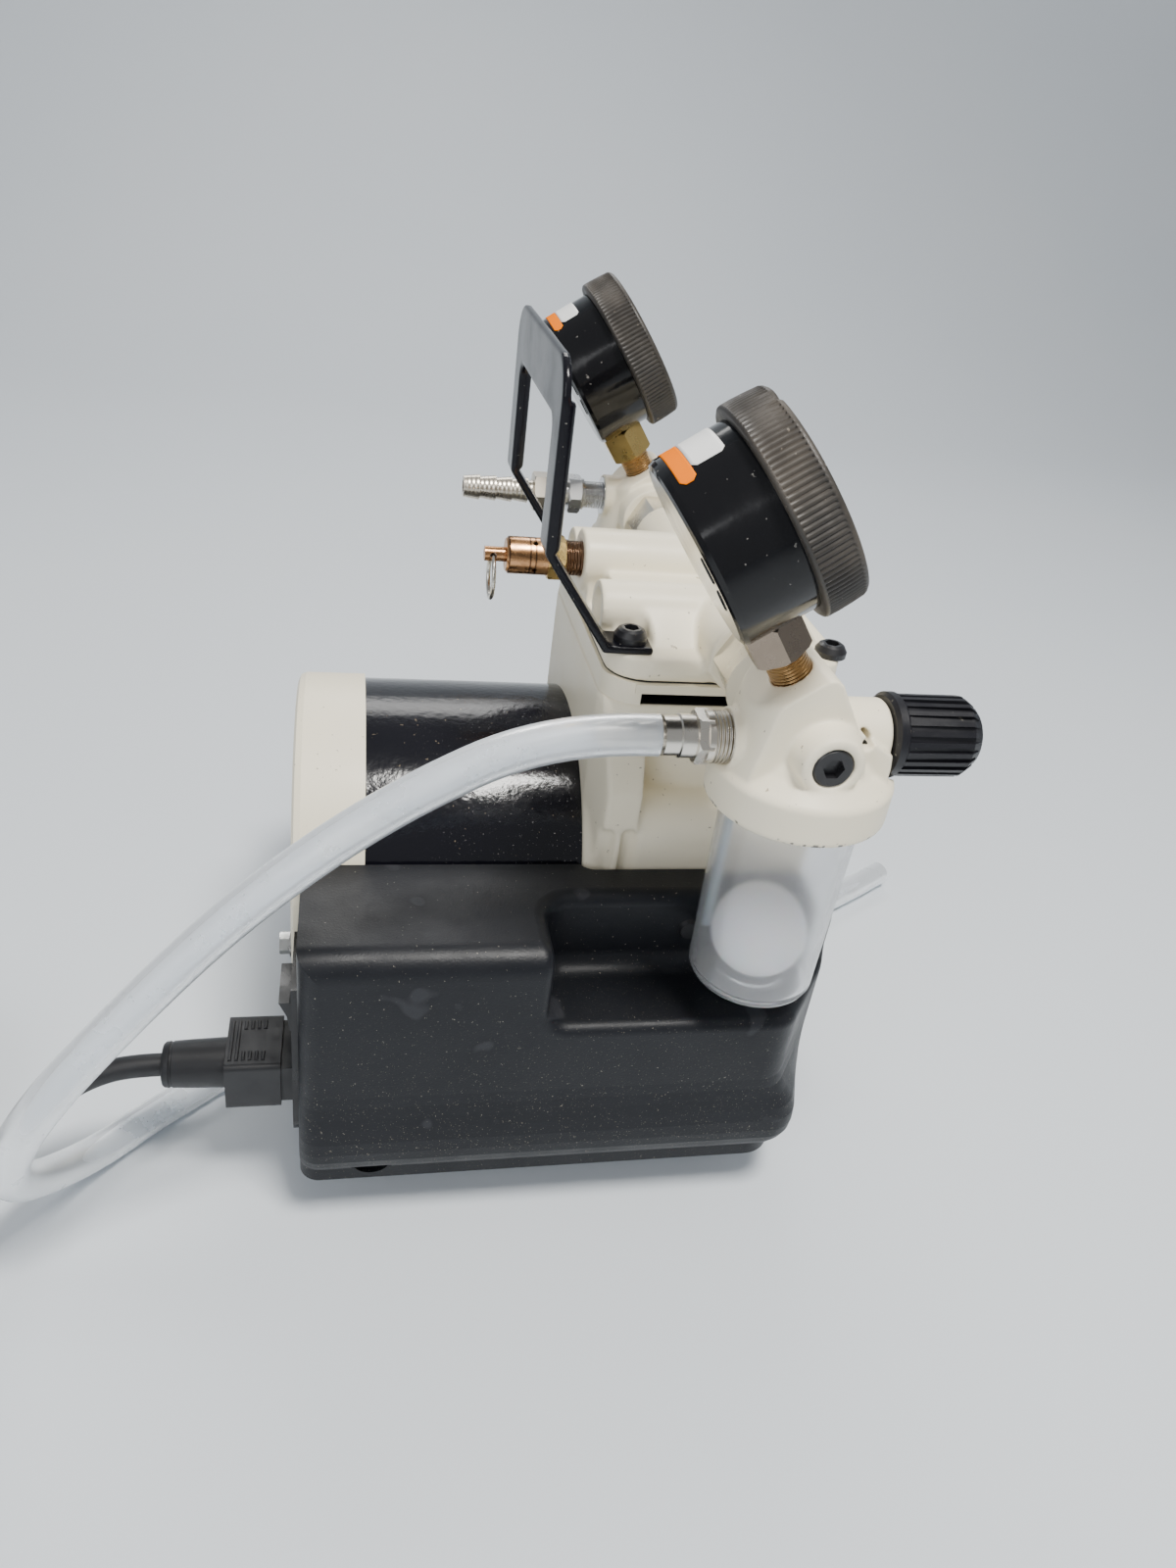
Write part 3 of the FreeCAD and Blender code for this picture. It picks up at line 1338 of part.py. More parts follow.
def gauge_cases():
    """Deep-drawn cans with a rounded back edge, open towards the bezel."""
    cases = []
    for side in (-1, 1):
        back = gauge_at(side) - dial_axis * gauge_back
        length = gauge_back + gauge_case_front
        s = math.sqrt(0.5)
        r = gauge_case_radius
        outer = turned([(0, r - 2), (2 - 2 * s, r - 2 + 2 * s), (2, r), (length, r)], back, dial_axis)
        inner = cyl(r - 1.2, length, back + dial_axis * 1.2, dial_axis)
        hole = cyl(5.6, 12, gauge_at(side) - stem_axis * (r + 3), stem_axis)
        cases.append(outer.cut(inner).cut(hole))
    return Part.makeCompound(cases)


def gauge_bezels():
    """Ribbed bezel rings that hold the lenses."""
    rings = []
    for side in (-1, 1):
        start = gauge_at(side) + dial_axis * (gauge_case_front - 0.5)
        r = gauge_bezel_radius
        ring = turned([(0, r - 0.8), (0.8, r), (bezel_depth - 1.5, r - 0.3), (bezel_depth, r - 2.0)],
                      start, dial_axis)
        ring = ring.cut(cyl(gauge_case_radius + 0.05, bezel_depth - 2.5, start - dial_axis * 1, dial_axis))
        ring = ring.cut(cyl(r - bezel_lip - 1.5, 40, start - dial_axis * 5, dial_axis))
        rings.append(ring)
    return Part.makeCompound(rings)


def lens_back():
    """Distance of the lens's inner face in front of the stem's axis."""
    return gauge_case_front - 0.5 + bezel_depth - 3.5 - lens_thickness - 0.1


def gauge_lenses():
    return Part.makeCompound([
        cyl(gauge_case_radius - 0.3, lens_thickness, gauge_at(side) + dial_axis * lens_back(), dial_axis)
        for side in (-1, 1)
    ])


def dial_front():
    return lens_back() - 4.5


def gauge_dials():
    dials = []
    for side in (-1, 1):
        start = gauge_at(side) + dial_axis * (dial_front() - 0.8)
        disc = cyl(gauge_case_radius - 1.5, 0.8, start, dial_axis)
        standoff = cyl(4, dial_front() + gauge_back - 2.2, start, dial_axis * -1)
        dials.append(disc.fuse([standoff]).cut(cyl(1.3, 40, start - dial_axis * 5, dial_axis)))
    return Part.makeCompound(dials)


def pointer(side):
    """Pointer on its arbor, resting at zero at the lower left of the dial."""
    centre = gauge_at(side) + dial_axis * (dial_front() + 1.2)
    blade = prism([Vector(0, -1.6, -6), Vector(0, 1.6, -6), Vector(0, 0.4, pointer_length),
                   Vector(0, -0.4, pointer_length)],
                  X * 0.6)
    hub = cyl(2.6, 1.4, Vector(-0.3, 0, 0), X)
    arbor = cyl(1.2, 5.0, Vector(0.1, 0, 0), X * -1)
    piece = fused(blade, hub, arbor)
    piece.rotate(Vector(0, 0, 0), X, 135)
    piece.Placement = FreeCAD.Placement(centre, FreeCAD.Rotation(Y, -gauge_tilt)).multiply(piece.Placement)
    return piece


# Trap jar and its float


def trap_jar():
    """Clear jar with a little draft, a thread collar at its mouth and a ring moulded in its floor."""
    c = Vector(regulator_x, -regulator_y, jar_bottom)
    height = jar_top() - jar_bottom
    low = jar_radius - jar_draft
    outer = turned([(0, low - 2.5), (0.8, low - 0.8), (2.5, low), (height, jar_radius)], c, Z)
    wall = jar_wall
    inner = turned([(wall, low - wall - 1.5), (wall + 1.5, low - wall), (height + 1, jar_radius - wall)],
                   c, Z)
    jar = outer.cut(inner)
    ring = tube(12.5, 11.3, 1.4, c + Z * (wall - 0.4), Z)
    return jar.fuse([ring]).removeSplitter()


def jar_top():
    return regulator_bottom + jar_neck_height - 1.0 - seal_thickness - 0.1


def jar_seal():
    z = jar_top() + 0.05
    return tube(jar_radius - 0.2, jar_radius - jar_wall - 1.0, seal_thickness,
                Vector(regulator_x, -regulator_y, z), Z)


def float_ball():
    centre = Vector(regulator_x, -regulator_y, jar_bottom + jar_wall + ball_radius + 0.3)
    return Part.makeSphere(ball_radius, centre)


def bowl_cap():
    """Plug that closes the other regulator, which has no jar."""
    c = Vector(regulator_x, regulator_y, regulator_bottom)
    disc = turned([(0, jar_radius - 1.5), (1.2, jar_radius - 0.3), (bowl_cap_height + 3, jar_radius - 0.3)],
                  c - Z * 4.0, Z)
    return disc.cut(hexagon(10, 4, c - Z * 4.0, Z))


# Hose tails


def vacuum_barb():
    """Threaded hose tail in the right regulator: thread, hexagon, collar and barbs."""
    back = X * -1
    start = Vector(rear_port_x, -regulator_y, rear_port_z)
    thread = cyl(rear_thread_radius, 15, start + X * 8, back)
    bar = hex_bar(hose_hex_flats, 5.0, start - X * 5.0, back)
    collar = turned([(0, 6.6), (4.6, 6.6), (5.0, 6.0), (9.6, 6.0)], start - X * 10.0, back)
    barbs = [cyl(tail_radius - 1.0, 8, start - X * 17.5, back)]
    for i in range(3):
        barbs.append(cone(tail_radius + 0.5, tail_radius - 0.8, 6.0, start - X * (22.0 + 6.0 * i), back))
    tail = fused(thread, bar, collar, *barbs)
    return tail.cut(cyl(tail_bore, 80, start + X * 12, back))


def pressure_barb():
    """Hose tail of the left regulator: threaded stub, lock nut, hexagon and a long barbed tail."""
    back = X * -1
    start = Vector(rear_port_x, regulator_y, rear_port_z_left)
    stub = cyl(rear_thread_radius - 2.2, 30, start + X * 8, back)
    thread = cyl(rear_thread_radius, 8, start + X * 8, back)
    washer = cyl(6.8, 1.5, start - X * 8.5, back)
    nut = hex_bar(15.0, 5.5, start - X * 10.0, back)
    bar = hex_bar(15.0, 12.5, start - X * 18.5, back)
    ridges = [cyl(tail_radius - 0.6, 28, start - X * 30.0, back)]
    for i in range(4):
        ridges.append(cone(tail_radius + 0.4, tail_radius - 0.5, 7.0, start - X * (33.5 + 7.0 * i), back))
    return fused(stub, thread, nut, washer, bar, *ridges).cut(cyl(tail_bore, 100, start + X * 12, back))


# Handle


def carry_handle():
    """Bent sheet handle: two legs with turned edges, a panel across the top and feet under the head bolts."""
    t = handle_thickness
    x = handle_x
    outer = handle_half + handle_leg_width / 2
    corner = 12.0
    frame = side_plate(-outer, outer, handle_bend_z, handle_top, corner, 0)
    inner = side_plate(-outer + handle_leg_width, outer - handle_leg_width, handle_bend_z - 20,
                       handle_top - handle_panel,
                       5.0, 0)
    upper = frame.cut(inner)
    upper = upper.extrude(X * t)
    upper.translate(X * (x - t / 2))
    pieces = [upper]
    for side in (-1, 1):
        for edge in (-1, 1):
            y = side * handle_half + edge * (handle_leg_width / 2 - 2.2)
            low = handle_bend_z
            high = handle_top - (corner if edge == side else handle_panel)
            pieces.append(cyl(2.2, high - low, Vector(x + 1.2, y, low), Z))
        y0 = side * handle_half - handle_leg_width / 2
        slope = [Vector(x - t / 2, y0, handle_bend_z + 1.0), Vector(x + t / 2, y0, handle_bend_z + 1.0),
                 Vector(x + t / 2 + 0.3, y0, handle_bend_z - 0.4),
                 Vector(handle_foot_x + 1.8, y0, head_top + t), Vector(handle_tab_end, y0, head_top + t),
                 Vector(handle_tab_end, y0, head_top), Vector(handle_foot_x, y0, head_top),
                 Vector(x - t / 2, y0, handle_bend_z - 1.2)]
        leg = prism(slope, Y * handle_leg_width)
        leg = leg.cut(cyl(bolt_radius + 0.3, 20, Vector(bolt_rear_x, side * bolt_y, head_top - 5), Z))
        pieces.append(leg)
    return pieces[0].fuse(pieces[1:]).removeSplitter()


def side_plate(y0, y1, z0, z1, radius, x):
    """Face across the pump with rounded upper corners."""
    s = math.sqrt(0.5)
    a = Vector(x, y0, z0)
    b = Vector(x, y0, z1 - radius)
    c = Vector(x, y0 + radius - radius * s, z1 - radius + radius * s)
    d = Vector(x, y0 + radius, z1)
    e = Vector(x, y1 - radius, z1)
    f = Vector(x, y1 - radius + radius * s, z1 - radius + radius * s)
    g = Vector(x, y1, z1 - radius)
    h = Vector(x, y1, z0)
    edges = [Part.LineSegment(a, b).toShape(), Part.Arc(b, c, d).toShape(), Part.LineSegment(d, e).toShape(),
             Part.Arc(e, f, g).toShape(), Part.LineSegment(g, h).toShape(), Part.LineSegment(h, a).toShape()]
    return Part.Face(Part.Wire(edges))


# Capacitor inside the base


def run_capacitor():
    """Round capacitor lying on the base plate beside the motor."""
    r = capacitor_radius
    start = Vector(capacitor_rear, capacitor_y, plate_top + r + 0.2)
    can = turned([(0, r - 1.5), (1.5, r), (capacitor_length - 2, r), (capacitor_length, r - 2)], start, X)
    tabs = []
    for y in (-6, 6):
        tabs.append(box(start.x - 7, start.x + 1, capacitor_y + y - 0.4, capacitor_y + y + 0.4,
                        start.z - 3, start.z + 3))
    strap = tube(r + 1.0, r + 0.02, 10, start + X * 30, X)
    foot = box(start.x + 30, start.x + 40, capacitor_y - r + 3, capacitor_y + r - 3, plate_top,
               plate_top + 1.2)
    strap = strap.common(box(-200, 200, -200, 200, plate_top, 200)).fuse([foot])
    strap = strap.cut(cyl(r + 0.02, 60, start + X * 20, X))
    return fused(can, strap, *tabs)


# Hose and power cord


def filleted_route(points, closed_end=False):
    """Edges of straight runs joined by tangent arcs, with the radius of each arc."""
    edges = []
    radii = []
    here = points[0]
    for i in range(1, len(points) - 1):
        back = points[i - 1] - points[i]
        ahead = points[i + 1] - points[i]
        turn = math.pi - back.getAngle(ahead)
        radius = 0.45 * min(back.Length, ahead.Length) / math.tan(turn / 2)
        reach = radius * math.tan(turn / 2)
        enter = points[i] + back.normalize() * reach
        leave = points[i] + ahead.normalize() * reach
        bisector = (back + ahead).normalize()
        centre = points[i] + bisector * (radius / math.cos(turn / 2))
        middle = centre - bisector * radius
        edges.append(Part.LineSegment(here, enter).toShape())
        edges.append(Part.Arc(enter, middle, leave).toShape())
        radii.append(radius)
        here = leave
    edges.append(Part.LineSegment(here, points[-1]).toShape())
    return edges, radii


def round_cord(points, diameter, name, bore=0):
    """Solid of a round cord along its route."""
    edges, radii = filleted_route(points)
    wire = Part.Wire(edges)
    start = points[0]
    along = (points[1] - points[0]).normalize()
    ring = Part.Wire(Part.Circle(start, along, diameter / 2).toShape())
    solid = wire.makePipeShell([ring], True, True)
    print(name, "length", round(wire.Length, 1), "radii", [round(r, 1) for r in radii],
          "volume ratio", round(solid.Volume / (math.pi * diameter ** 2 / 4 * wire.Length), 4))
    if bore:
        inner = Part.Wire(Part.Circle(start, along, bore / 2).toShape())
        solid = solid.cut(wire.makePipeShell([inner], True, True))
    return solid


def vacuum_hose():
    points = [Vector(*p) for p in hose_route]
    return round_cord(points, hose_diameter, "vacuum hose", hose_bore)


def power_cord():
    points = [Vector(cord_exit_x(), inlet_y, inlet_z)] + [Vector(*p) for p in cord_route]
    return round_cord(points, cord_diameter, "power cord")


def power_cord_coil():
    """The slack of the cord, lying in a flat coil on the bench."""
    centre = Vector(coil_centre_x, coil_centre_y, bench_z)
    half = coil_width / 2
    ring = tube(coil_turn_radius + half, coil_turn_radius - half, coil_height, centre, Z)
    rims = [e for e in ring.Edges if at_z(e, bench_z) or at_z(e, bench_z + coil_height)]
    return ring.makeFillet(coil_edge_radius, rims)


def mains_plug():
    """Moulded plug with a ground pin, lying on the bench where the last turn leaves the coil."""
    w, h, length = mains_body
    neck = 5.0
    outer = coil_turn_radius + coil_width / 2
    beside = math.sqrt(outer ** 2 - (coil_turn_radius - neck) ** 2)
    base = Vector(coil_centre_x - beside - plug_gap - 0.15, coil_centre_y - coil_turn_radius, bench_z + h / 2)
    back = X * -1
    body = turned([(0, neck), (2, 7.0), (10, 9.0), (14, w / 2), (length + 10, w / 2)], base, back)
    face = base.x - length - 10
    pins = []
    for y in (-6.35, 6.35):
        pins.append(box(face - 15.9, face + 1, base.y + y - 0.75, base.y + y + 0.75, base.z - 0.2,
                        base.z + 6.2))
    ground = cyl(2.4, 22, Vector(face + 1, base.y, base.z - 8.9), back)
    return fused(body, ground, *pins)


def main():
    right, left = housings()
    trap = trap_jar()
    nodes = {
        "housing_right": right,
        "housing_left": left,
        "base_plate": base_plate(),
        "rubber_feet": rubber_feet(),
        "cover_screws": cover_screws(),
        "isolation_mounts": isolation_mounts(),
        "power_entry": power_inlet(),
        "switch_rocker": switch_rocker(),
        "run_capacitor": run_capacitor(),
        "motor_shell": motor_shell(),
        "rear_end_cap": rear_end_cap(),
        "end_cap_screws": end_cap_screws(),
        "stator_core": stator_core(),
        "stator_windings": stator_windings(),
        "rotor": rotor(),
        "motor_shaft": motor_shaft(),
        "motor_bearings": motor_bearings(),
        "cooling_fan": cooling_fan(),
        "crankcase": crankcase(),
        "front_cover": front_cover(),
        "eccentric": eccentric(),
        "rod_bearing": rod_bearing(),
        "connecting_rod": connecting_rod(),
        "piston_cup": piston_cup(),
        "cup_retainer": cup_retainer(),
        "cylinder_sleeve": cylinder_sleeve(),
        "valve_plate": valve_plate(),
        "reed_valves": reed_valves(),
        "head_gasket": head_gasket(),
        "cylinder_head": cylinder_head(),
        "head_bolts": head_bolts(),
        "carry_handle": carry_handle(),
        "relief_valve_body": relief_valve(),
        "relief_stem": relief_stem(),
        "relief_spring": relief_spring(),
        "pull_ring": pull_ring(),
        "hex_nipples": hex_nipples(),
        "vacuum_regulator_body": regulator_body(-1),
        "pressure_regulator_body": regulator_body(1),
        "vacuum_knob": knob(-1),
        "pressure_knob": knob(1),
        "port_plugs": port_plugs(),
        "gauge_stems": gauge_stems(),
        "gauge_cases": gauge_cases(),
        "gauge_bezels": gauge_bezels(),
        "gauge_lenses": gauge_lenses(),
        "gauge_dials": gauge_dials(),
        "vacuum_pointer": pointer(-1),
        "pressure_pointer": pointer(1),
        "trap_jar": trap,
        "jar_seal": jar_seal(),
        "float_ball": float_ball(),
        "bowl_cap": bowl_cap(),
        "vacuum_barb": vacuum_barb(),
        "pressure_barb": pressure_barb(),
        "vacuum_hose": vacuum_hose(),
        "iec_connector": iec_connector(),
        "power_cord": power_cord(),
        "power_cord_coil": power_cord_coil(),
        "mains_plug": mains_plug(),
    }
    os.makedirs("parts", exist_ok=True)
    for name, shape in nodes.items():
        shape.translate(Vector(frame_shift, 0, -bench_z))
        shape.exportStep("parts/" + name + ".step")
        print(name, shape.ShapeType, len(shape.Solids), shape.isValid(), round(shape.Volume, 1))


if __name__ == "__main__":
    main()
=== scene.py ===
import json
import math

import bpy
import bmesh
from mathutils import Matrix, Vector

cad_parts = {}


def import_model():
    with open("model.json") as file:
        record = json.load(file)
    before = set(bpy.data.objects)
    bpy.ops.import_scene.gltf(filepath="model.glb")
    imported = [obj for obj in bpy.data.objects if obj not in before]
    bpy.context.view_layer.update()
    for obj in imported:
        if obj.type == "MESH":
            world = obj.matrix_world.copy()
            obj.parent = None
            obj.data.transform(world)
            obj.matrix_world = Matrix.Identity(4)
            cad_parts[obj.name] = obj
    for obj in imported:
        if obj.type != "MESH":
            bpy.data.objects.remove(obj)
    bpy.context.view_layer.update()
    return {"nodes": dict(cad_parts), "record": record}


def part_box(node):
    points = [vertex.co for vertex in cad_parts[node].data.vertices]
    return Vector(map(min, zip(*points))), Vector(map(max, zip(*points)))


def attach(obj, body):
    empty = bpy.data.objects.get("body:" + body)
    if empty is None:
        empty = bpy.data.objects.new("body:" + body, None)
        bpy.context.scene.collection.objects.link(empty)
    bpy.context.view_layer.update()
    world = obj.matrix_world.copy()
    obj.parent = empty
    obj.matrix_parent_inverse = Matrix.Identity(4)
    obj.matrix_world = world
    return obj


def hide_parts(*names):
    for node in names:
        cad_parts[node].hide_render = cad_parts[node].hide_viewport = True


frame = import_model()

# Places and sizes are in millimetres in the part's frame and turned to metres where a piece is made.
MM = 0.001

# The photograph's camera
CAMERA_PLACE = (-83.43, -372.47, 345.73)
CAMERA_YAW = math.radians(14.504)
CAMERA_DOWN = math.radians(30.921)
CAMERA_ROLL = math.radians(-8.262)
FOCAL_PIXELS = 1118.72
SENSOR_MM = 36.0
PICTURE_LONG_SIDE = 1600

# Lamps, in metres and watts: name, place, width, height, power and colour
LAMP_TARGET = (0.0, 0.0, 0.12)
LAMPS = [
    ("key_light", (0.20, -0.46, 1.45), 0.34, 0.34, 26, (1.0, 0.98, 0.94)),
    ("fill_light", (-0.9, -1.2, 0.9), 0.9, 0.8, 7.5, (0.97, 0.98, 1.0)),
    ("rear_light", (0.1, 1.3, 1.3), 0.9, 0.5, 9, (1.0, 0.99, 0.97)),
]

# Surroundings: strength as light on the pump, and as the camera sees them straight or through clear pieces
SURROUNDINGS_COLOUR = (0.86, 0.89, 0.93)
SURROUNDINGS_LIGHT = 0.42
SURROUNDINGS_SEEN = 0.9

# Bench and the backdrop that it curves up into, in metres
BENCH_NEAR = -5.0
BENCH_HALF_WIDTH = 7.0
BACKDROP_FAR = 1.9
BACKDROP_TOP = 3.0
BACKDROP_BEND = 0.8
BEND_STEPS = 16

# Directions, and the distance of regulators and gauges from the middle plane
FORWARD = Vector((1, 0, 0))
LEFT = Vector((0, 1, 0))
UP = Vector((0, 0, 1))
SIDE_Y = 102.0

# Gauges: the dial is tilted back, and the stem runs square to the dial's axis
TILT = math.radians(34.7)
DIAL_AXIS = Vector((math.cos(TILT), 0, math.sin(TILT)))
STEM_AXIS = Vector((-math.sin(TILT), 0, math.cos(TILT)))
GAUGE_PORT = Vector((41.7, 0, 217.6))
GAUGE_REACH = 46.6
GAUGE_CASE_RADIUS = 27.5
GAUGE_BACK = 10.3
GAUGE_CASE_FRONT = 12.7
BEZEL_RADIUS = 31.0
BEZEL_DEPTH = 13.0
BEZEL_LIP = 4.0
BEZEL_OVERLAP = 0.5        # how far it reaches back over the front of the can
BEZEL_RIBS = 110
BEZEL_RIB_DEPTH = 0.55
NICK_ANGLE = math.radians(188)
NICK_WIDTH = 0.07          # radians to each side
NICK_DEPTH = 1.8

# Dials: side, its name, the scale's last number and its step
DIAL_SCALES = ((-1, "right", 30, 5), (1, "left", 60, 10))
DIAL_FRONT = 16.2
DIAL_SWEEP = math.radians(270)
TICKS_PER_STEP = 5
LONG_TICK = (18.4, 0.35)   # inner radius and half width
SHORT_TICK = (20.2, 0.16)
ARC_INNER = 22.4
ARC_OUTER = 22.8
ARC_PARTS = 90
PRINT_LIFT = 0.03
NUMBER_RADIUS = 14.6
NUMBER_SIZE = 4.2
NUMBER_LIFT = 0.05
NUMBER_THICKNESS = 0.02

# Blank stickers round the gauge cans: name, side, ends along the gauge, ends round it in degrees, look
STICKER_THICKNESS = 0.12
STICKER_CORNER = 1.3
STICKER_GRID = (10, 24)    # faces across and around
STICKERS = [
    ("sticker_right_orange", -1, (-6.6, -1.9), (52, 118), "sticker_orange"),
    ("sticker_right_white", -1, (-1.8, 7.6), (52, 110), "sticker_white"),
    ("sticker_left_orange", 1, (-6.6, -2.6), (60, 118), "sticker_orange"),
    ("sticker_left_white", 1, (-2.5, 5.4), (60, 113), "sticker_white"),
]

# Oval slots stamped into the gauges' backs, at these angles in degrees
BACK_SLOT_TURNS = (168, 196)
BACK_SLOT_OUT = 19.5
BACK_SLOT_HALF_WIDTH = 1.5
BACK_SLOT_HALF_LENGTH = 3.9
BACK_SLOT_LIFT = 0.02
BACK_SLOT_POINTS = 32
BACK_SLOT_RINGS = ((1.0, 0.0), (0.82, 0.25), (0.7, 0.05))   # share of the width, and lift off the back

# Relief valve: face of the head's rear boss that it is screwed into
RELIEF_FACE = -2.3

# Nodes whose finish differs from the plain look of their slot
NODE_LOOKS = {
    "gauge_stems": "gauge_stem", "relief_valve_body": "relief_valve", "relief_stem": "copper_brass",
    "vacuum_barb": "vacuum_barb", "pressure_barb": "pressure_barb",
}

# Castings whose edges the foundry and the paint have rounded: voxel in millimetres and smoothing rounds
SOFTENED = [
    ("cylinder_head", 0.9, 4), ("crankcase", 1.3, 3), ("carry_handle", 0.7, 4),
]
WELD_REACH = 0.002
SMOOTHING = 0.5

# Air slots between the crankcase and the valve plate, their inside painted near-black as painted shade
AIR_SLOT_X = (12.3, 45.6)
AIR_SLOT_Z = (179.9, 185.6)
AIR_SLOT_Y = (54.0, 54.7)      # fades out between these distances from the middle

# Chipped paint round the lower rims of the regulators, which lie beyond REGULATOR_Y
REGULATOR_Y = (85.0, 86.0)
CHIPPED_RIM_Z = (173.8, 175.9)

# Two oval recesses low on each side of the crankcase, not modelled but painted as darker patches of painted
# shade
OVAL_XS = (34.6, 42.6)
OVAL_HALF_WIDTH = 2.0
OVAL_Z = (96.0, 116.5)
CRANKCASE_SIDE_Y = (40.0, 41.0)

# Line socket on the power cord
SOCKET_Y = -81.5
SOCKET_Z = 49.0
SOCKET_TOP = 59.0
SOCKET_REAR = -123.0
SOCKET_HALF_WIDTH = 9.4
LONG_RIB_XS = (-121.4, -119.2)
SHORT_RIB_XS = (-117.0, -114.8, -112.6, -110.4)
SHORT_RIB_INNER = 5.4
RIB_HALF_WIDTH = 0.6
RIB_SUNK = 0.3
RIB_RISE = 0.5
RIB_CHAMFER = 0.3
STRAIN_RELIEF_RADIUS = 8.6
RELIEF_HOLE = Vector((-9, -3.4, 7.3))          # from the middle of the socket's rear face
RELIEF_HOLE_AXIS = (0, -0.42, 0.907)

# Regulators: side, its name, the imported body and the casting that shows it
REGULATORS = (
    (-1, "right", "vacuum_regulator_body", "vacuum_casting"),
    (1, "left", "pressure_regulator_body", "pressure_casting"),
)
CASTING_VOXEL = 0.6
CASTING_ROUNDS = 4

# Socket plugs in the regulators' outer bosses
PLUG_X = 51.5
PLUG_Z = 198.0
PLUG_FACE = 22.7           # from the regulator's centre
PLUG_SUNK = 0.3
PLUG_HOLE_RADIUS = 6.3
PLUG_HOLE_DEPTH = 5.0
BOSS_ROOT_RADIUS = 13.5
BOSS_CORE_RADIUS = 5.0     # where the boss leaves off round the casting's own middle

# Vent hole in each regulator's neck, lined with a near-black piece as painted shade; the turn is measured up
# from level
VENT_X = 64.0
VENT_TURN = math.radians(12)
VENT_SUNK = 1.0
NECK_RADIUS = 11.3
NECK_Z = 197.5

# Trap jar
JAR_X = 52.5
DROP_TUBE_ANGLE = 150
DROP_TUBE_OUT = 18.0
DROP_TUBE_FOOT = 118.0
DROP_TUBE_LENGTH = 58.0
DROP_TUBE_RADIUS = 1.5
DROP_TUBE_BORE_RADIUS = 1.0

# Hose and power cord
HOSE_DIAMETER = 12.6
HOSE_BORE = 9.4
CORD_DIAMETER = 8.0
COIL_CENTRE = Vector((-266.0, -63.0, 0.0))
COIL_RADIUS = 44.0
COIL_TURN_POINTS = 16
COIL_CROSSING = 0.25       # share of a turn in which the cord passes to the next layer
COIL_LAST_HEIGHT = 19.5
PLUG_CORD_Y = -107.0
PLUG_CORD_HEIGHT = 13.5
HOSE_ROUTE = [
    (5.5, -102.0, 195.5), (-25.0, -100.5, 195.5), (-70.0, -108.5, 176.0), (-109.5, -114.5, 146.5),
    (-143.0, -121.0, 112.5), (-175.5, -133.5, 77.5), (-189.0, -118.5, 33.5), (-174.5, -86.0, 6.3),
    (-149.5, -61.5, 6.3), (-107.0, -27.0, 6.3), (-65.0, -6.0, 6.3), (-5.0, 4.0, 6.3), (55.0, 8.0, 6.3),
    (105.0, 24.0, 6.3), (147.0, 50.0, 6.3), (182.0, 68.0, 6.3), (209.0, 85.0, 6.3),
]
CORD_ROUTE = [
    (-144.5, -81.5, 49.0), (-156.0, -81.5, 49.0), (-167.5, -83.0, 46.5), (-177.5, -85.5, 41.5),
    (-186.0, -89.0, 34.0), (-192.5, -92.5, 25.0), (-199.5, -96.5, 16.5), (-208.0, -100.5, 10.0),
    (-218.0, -104.0, 5.7), (-229.5, -106.5, 4.0), (-241.5, -107.0, 4.0),
]


def mm(points):
    return [Vector(p) * MM for p in points]


# Camera, lights and backdrop


def camera():
    """The photograph's camera, solved from the pump's own straight edges and circles."""
    cy, sy = math.cos(CAMERA_YAW), math.sin(CAMERA_YAW)
    cp, sp = math.cos(CAMERA_DOWN), math.sin(CAMERA_DOWN)
    cr, sr = math.cos(CAMERA_ROLL), math.sin(CAMERA_ROLL)
    forward = Vector((sy * cp, cy * cp, -sp))
    level_right = Vector((cy, -sy, 0))
    level_down = forward.cross(level_right)
    right = cr * level_right + sr * level_down
    down = -sr * level_right + cr * level_down
    data = bpy.data.cameras.new("camera")
    data.sensor_width = SENSOR_MM
    data.lens = FOCAL_PIXELS / PICTURE_LONG_SIDE * SENSOR_MM
    data.clip_start = 0.01
    data.clip_end = 50
    obj = bpy.data.objects.new("camera", data)
    turn = Matrix((right, -down, -forward)).transposed()
    obj.matrix_world = Matrix.Translation(Vector(CAMERA_PLACE) * MM) @ turn.to_4x4()
    bpy.context.scene.collection.objects.link(obj)
    bpy.context.scene.camera = obj


def area_light(name, place, aim, width, height, power, colour):
    data = bpy.data.lights.new(name, "AREA")
    data.shape = "RECTANGLE"
    data.size = width
    data.size_y = height
    data.energy = power
    data.color = colour
    obj = bpy.data.objects.new(name, data)
    obj.location = place
    obj.rotation_mode = "QUATERNION"
    obj.rotation_quaternion = (Vector(aim) - Vector(place)).to_track_quat("-Z", "Y")
    bpy.context.scene.collection.objects.link(obj)


def lights():
    for name, place, width, height, power, colour in LAMPS:
        area_light(name, place, LAMP_TARGET, width, height, power, colour)


def world():
    """Pale surroundings, dim as light on the pump and brighter to the camera and through clear pieces."""
    w = bpy.data.worlds.new("surroundings")
    bpy.context.scene.world = w
    w.use_nodes = True
    nodes = w.node_tree.nodes
    links = w.node_tree.links
    background = nodes["Background"]
    background.inputs["Color"].default_value = (*SURROUNDINGS_COLOUR, 1)
    path = nodes.new("ShaderNodeLightPath")
    seen = nodes.new("ShaderNodeMath")
    seen.operation = "MAXIMUM"
    links.new(path.outputs["Is Camera Ray"], seen.inputs[0])
    links.new(path.outputs["Is Transmission Ray"], seen.inputs[1])
    level = nodes.new("ShaderNodeMapRange")
    level.inputs["To Min"].default_value = SURROUNDINGS_LIGHT
    level.inputs["To Max"].default_value = SURROUNDINGS_SEEN
    links.new(seen.outputs[0], level.inputs["Value"])
    links.new(level.outputs["Result"], background.inputs["Strength"])


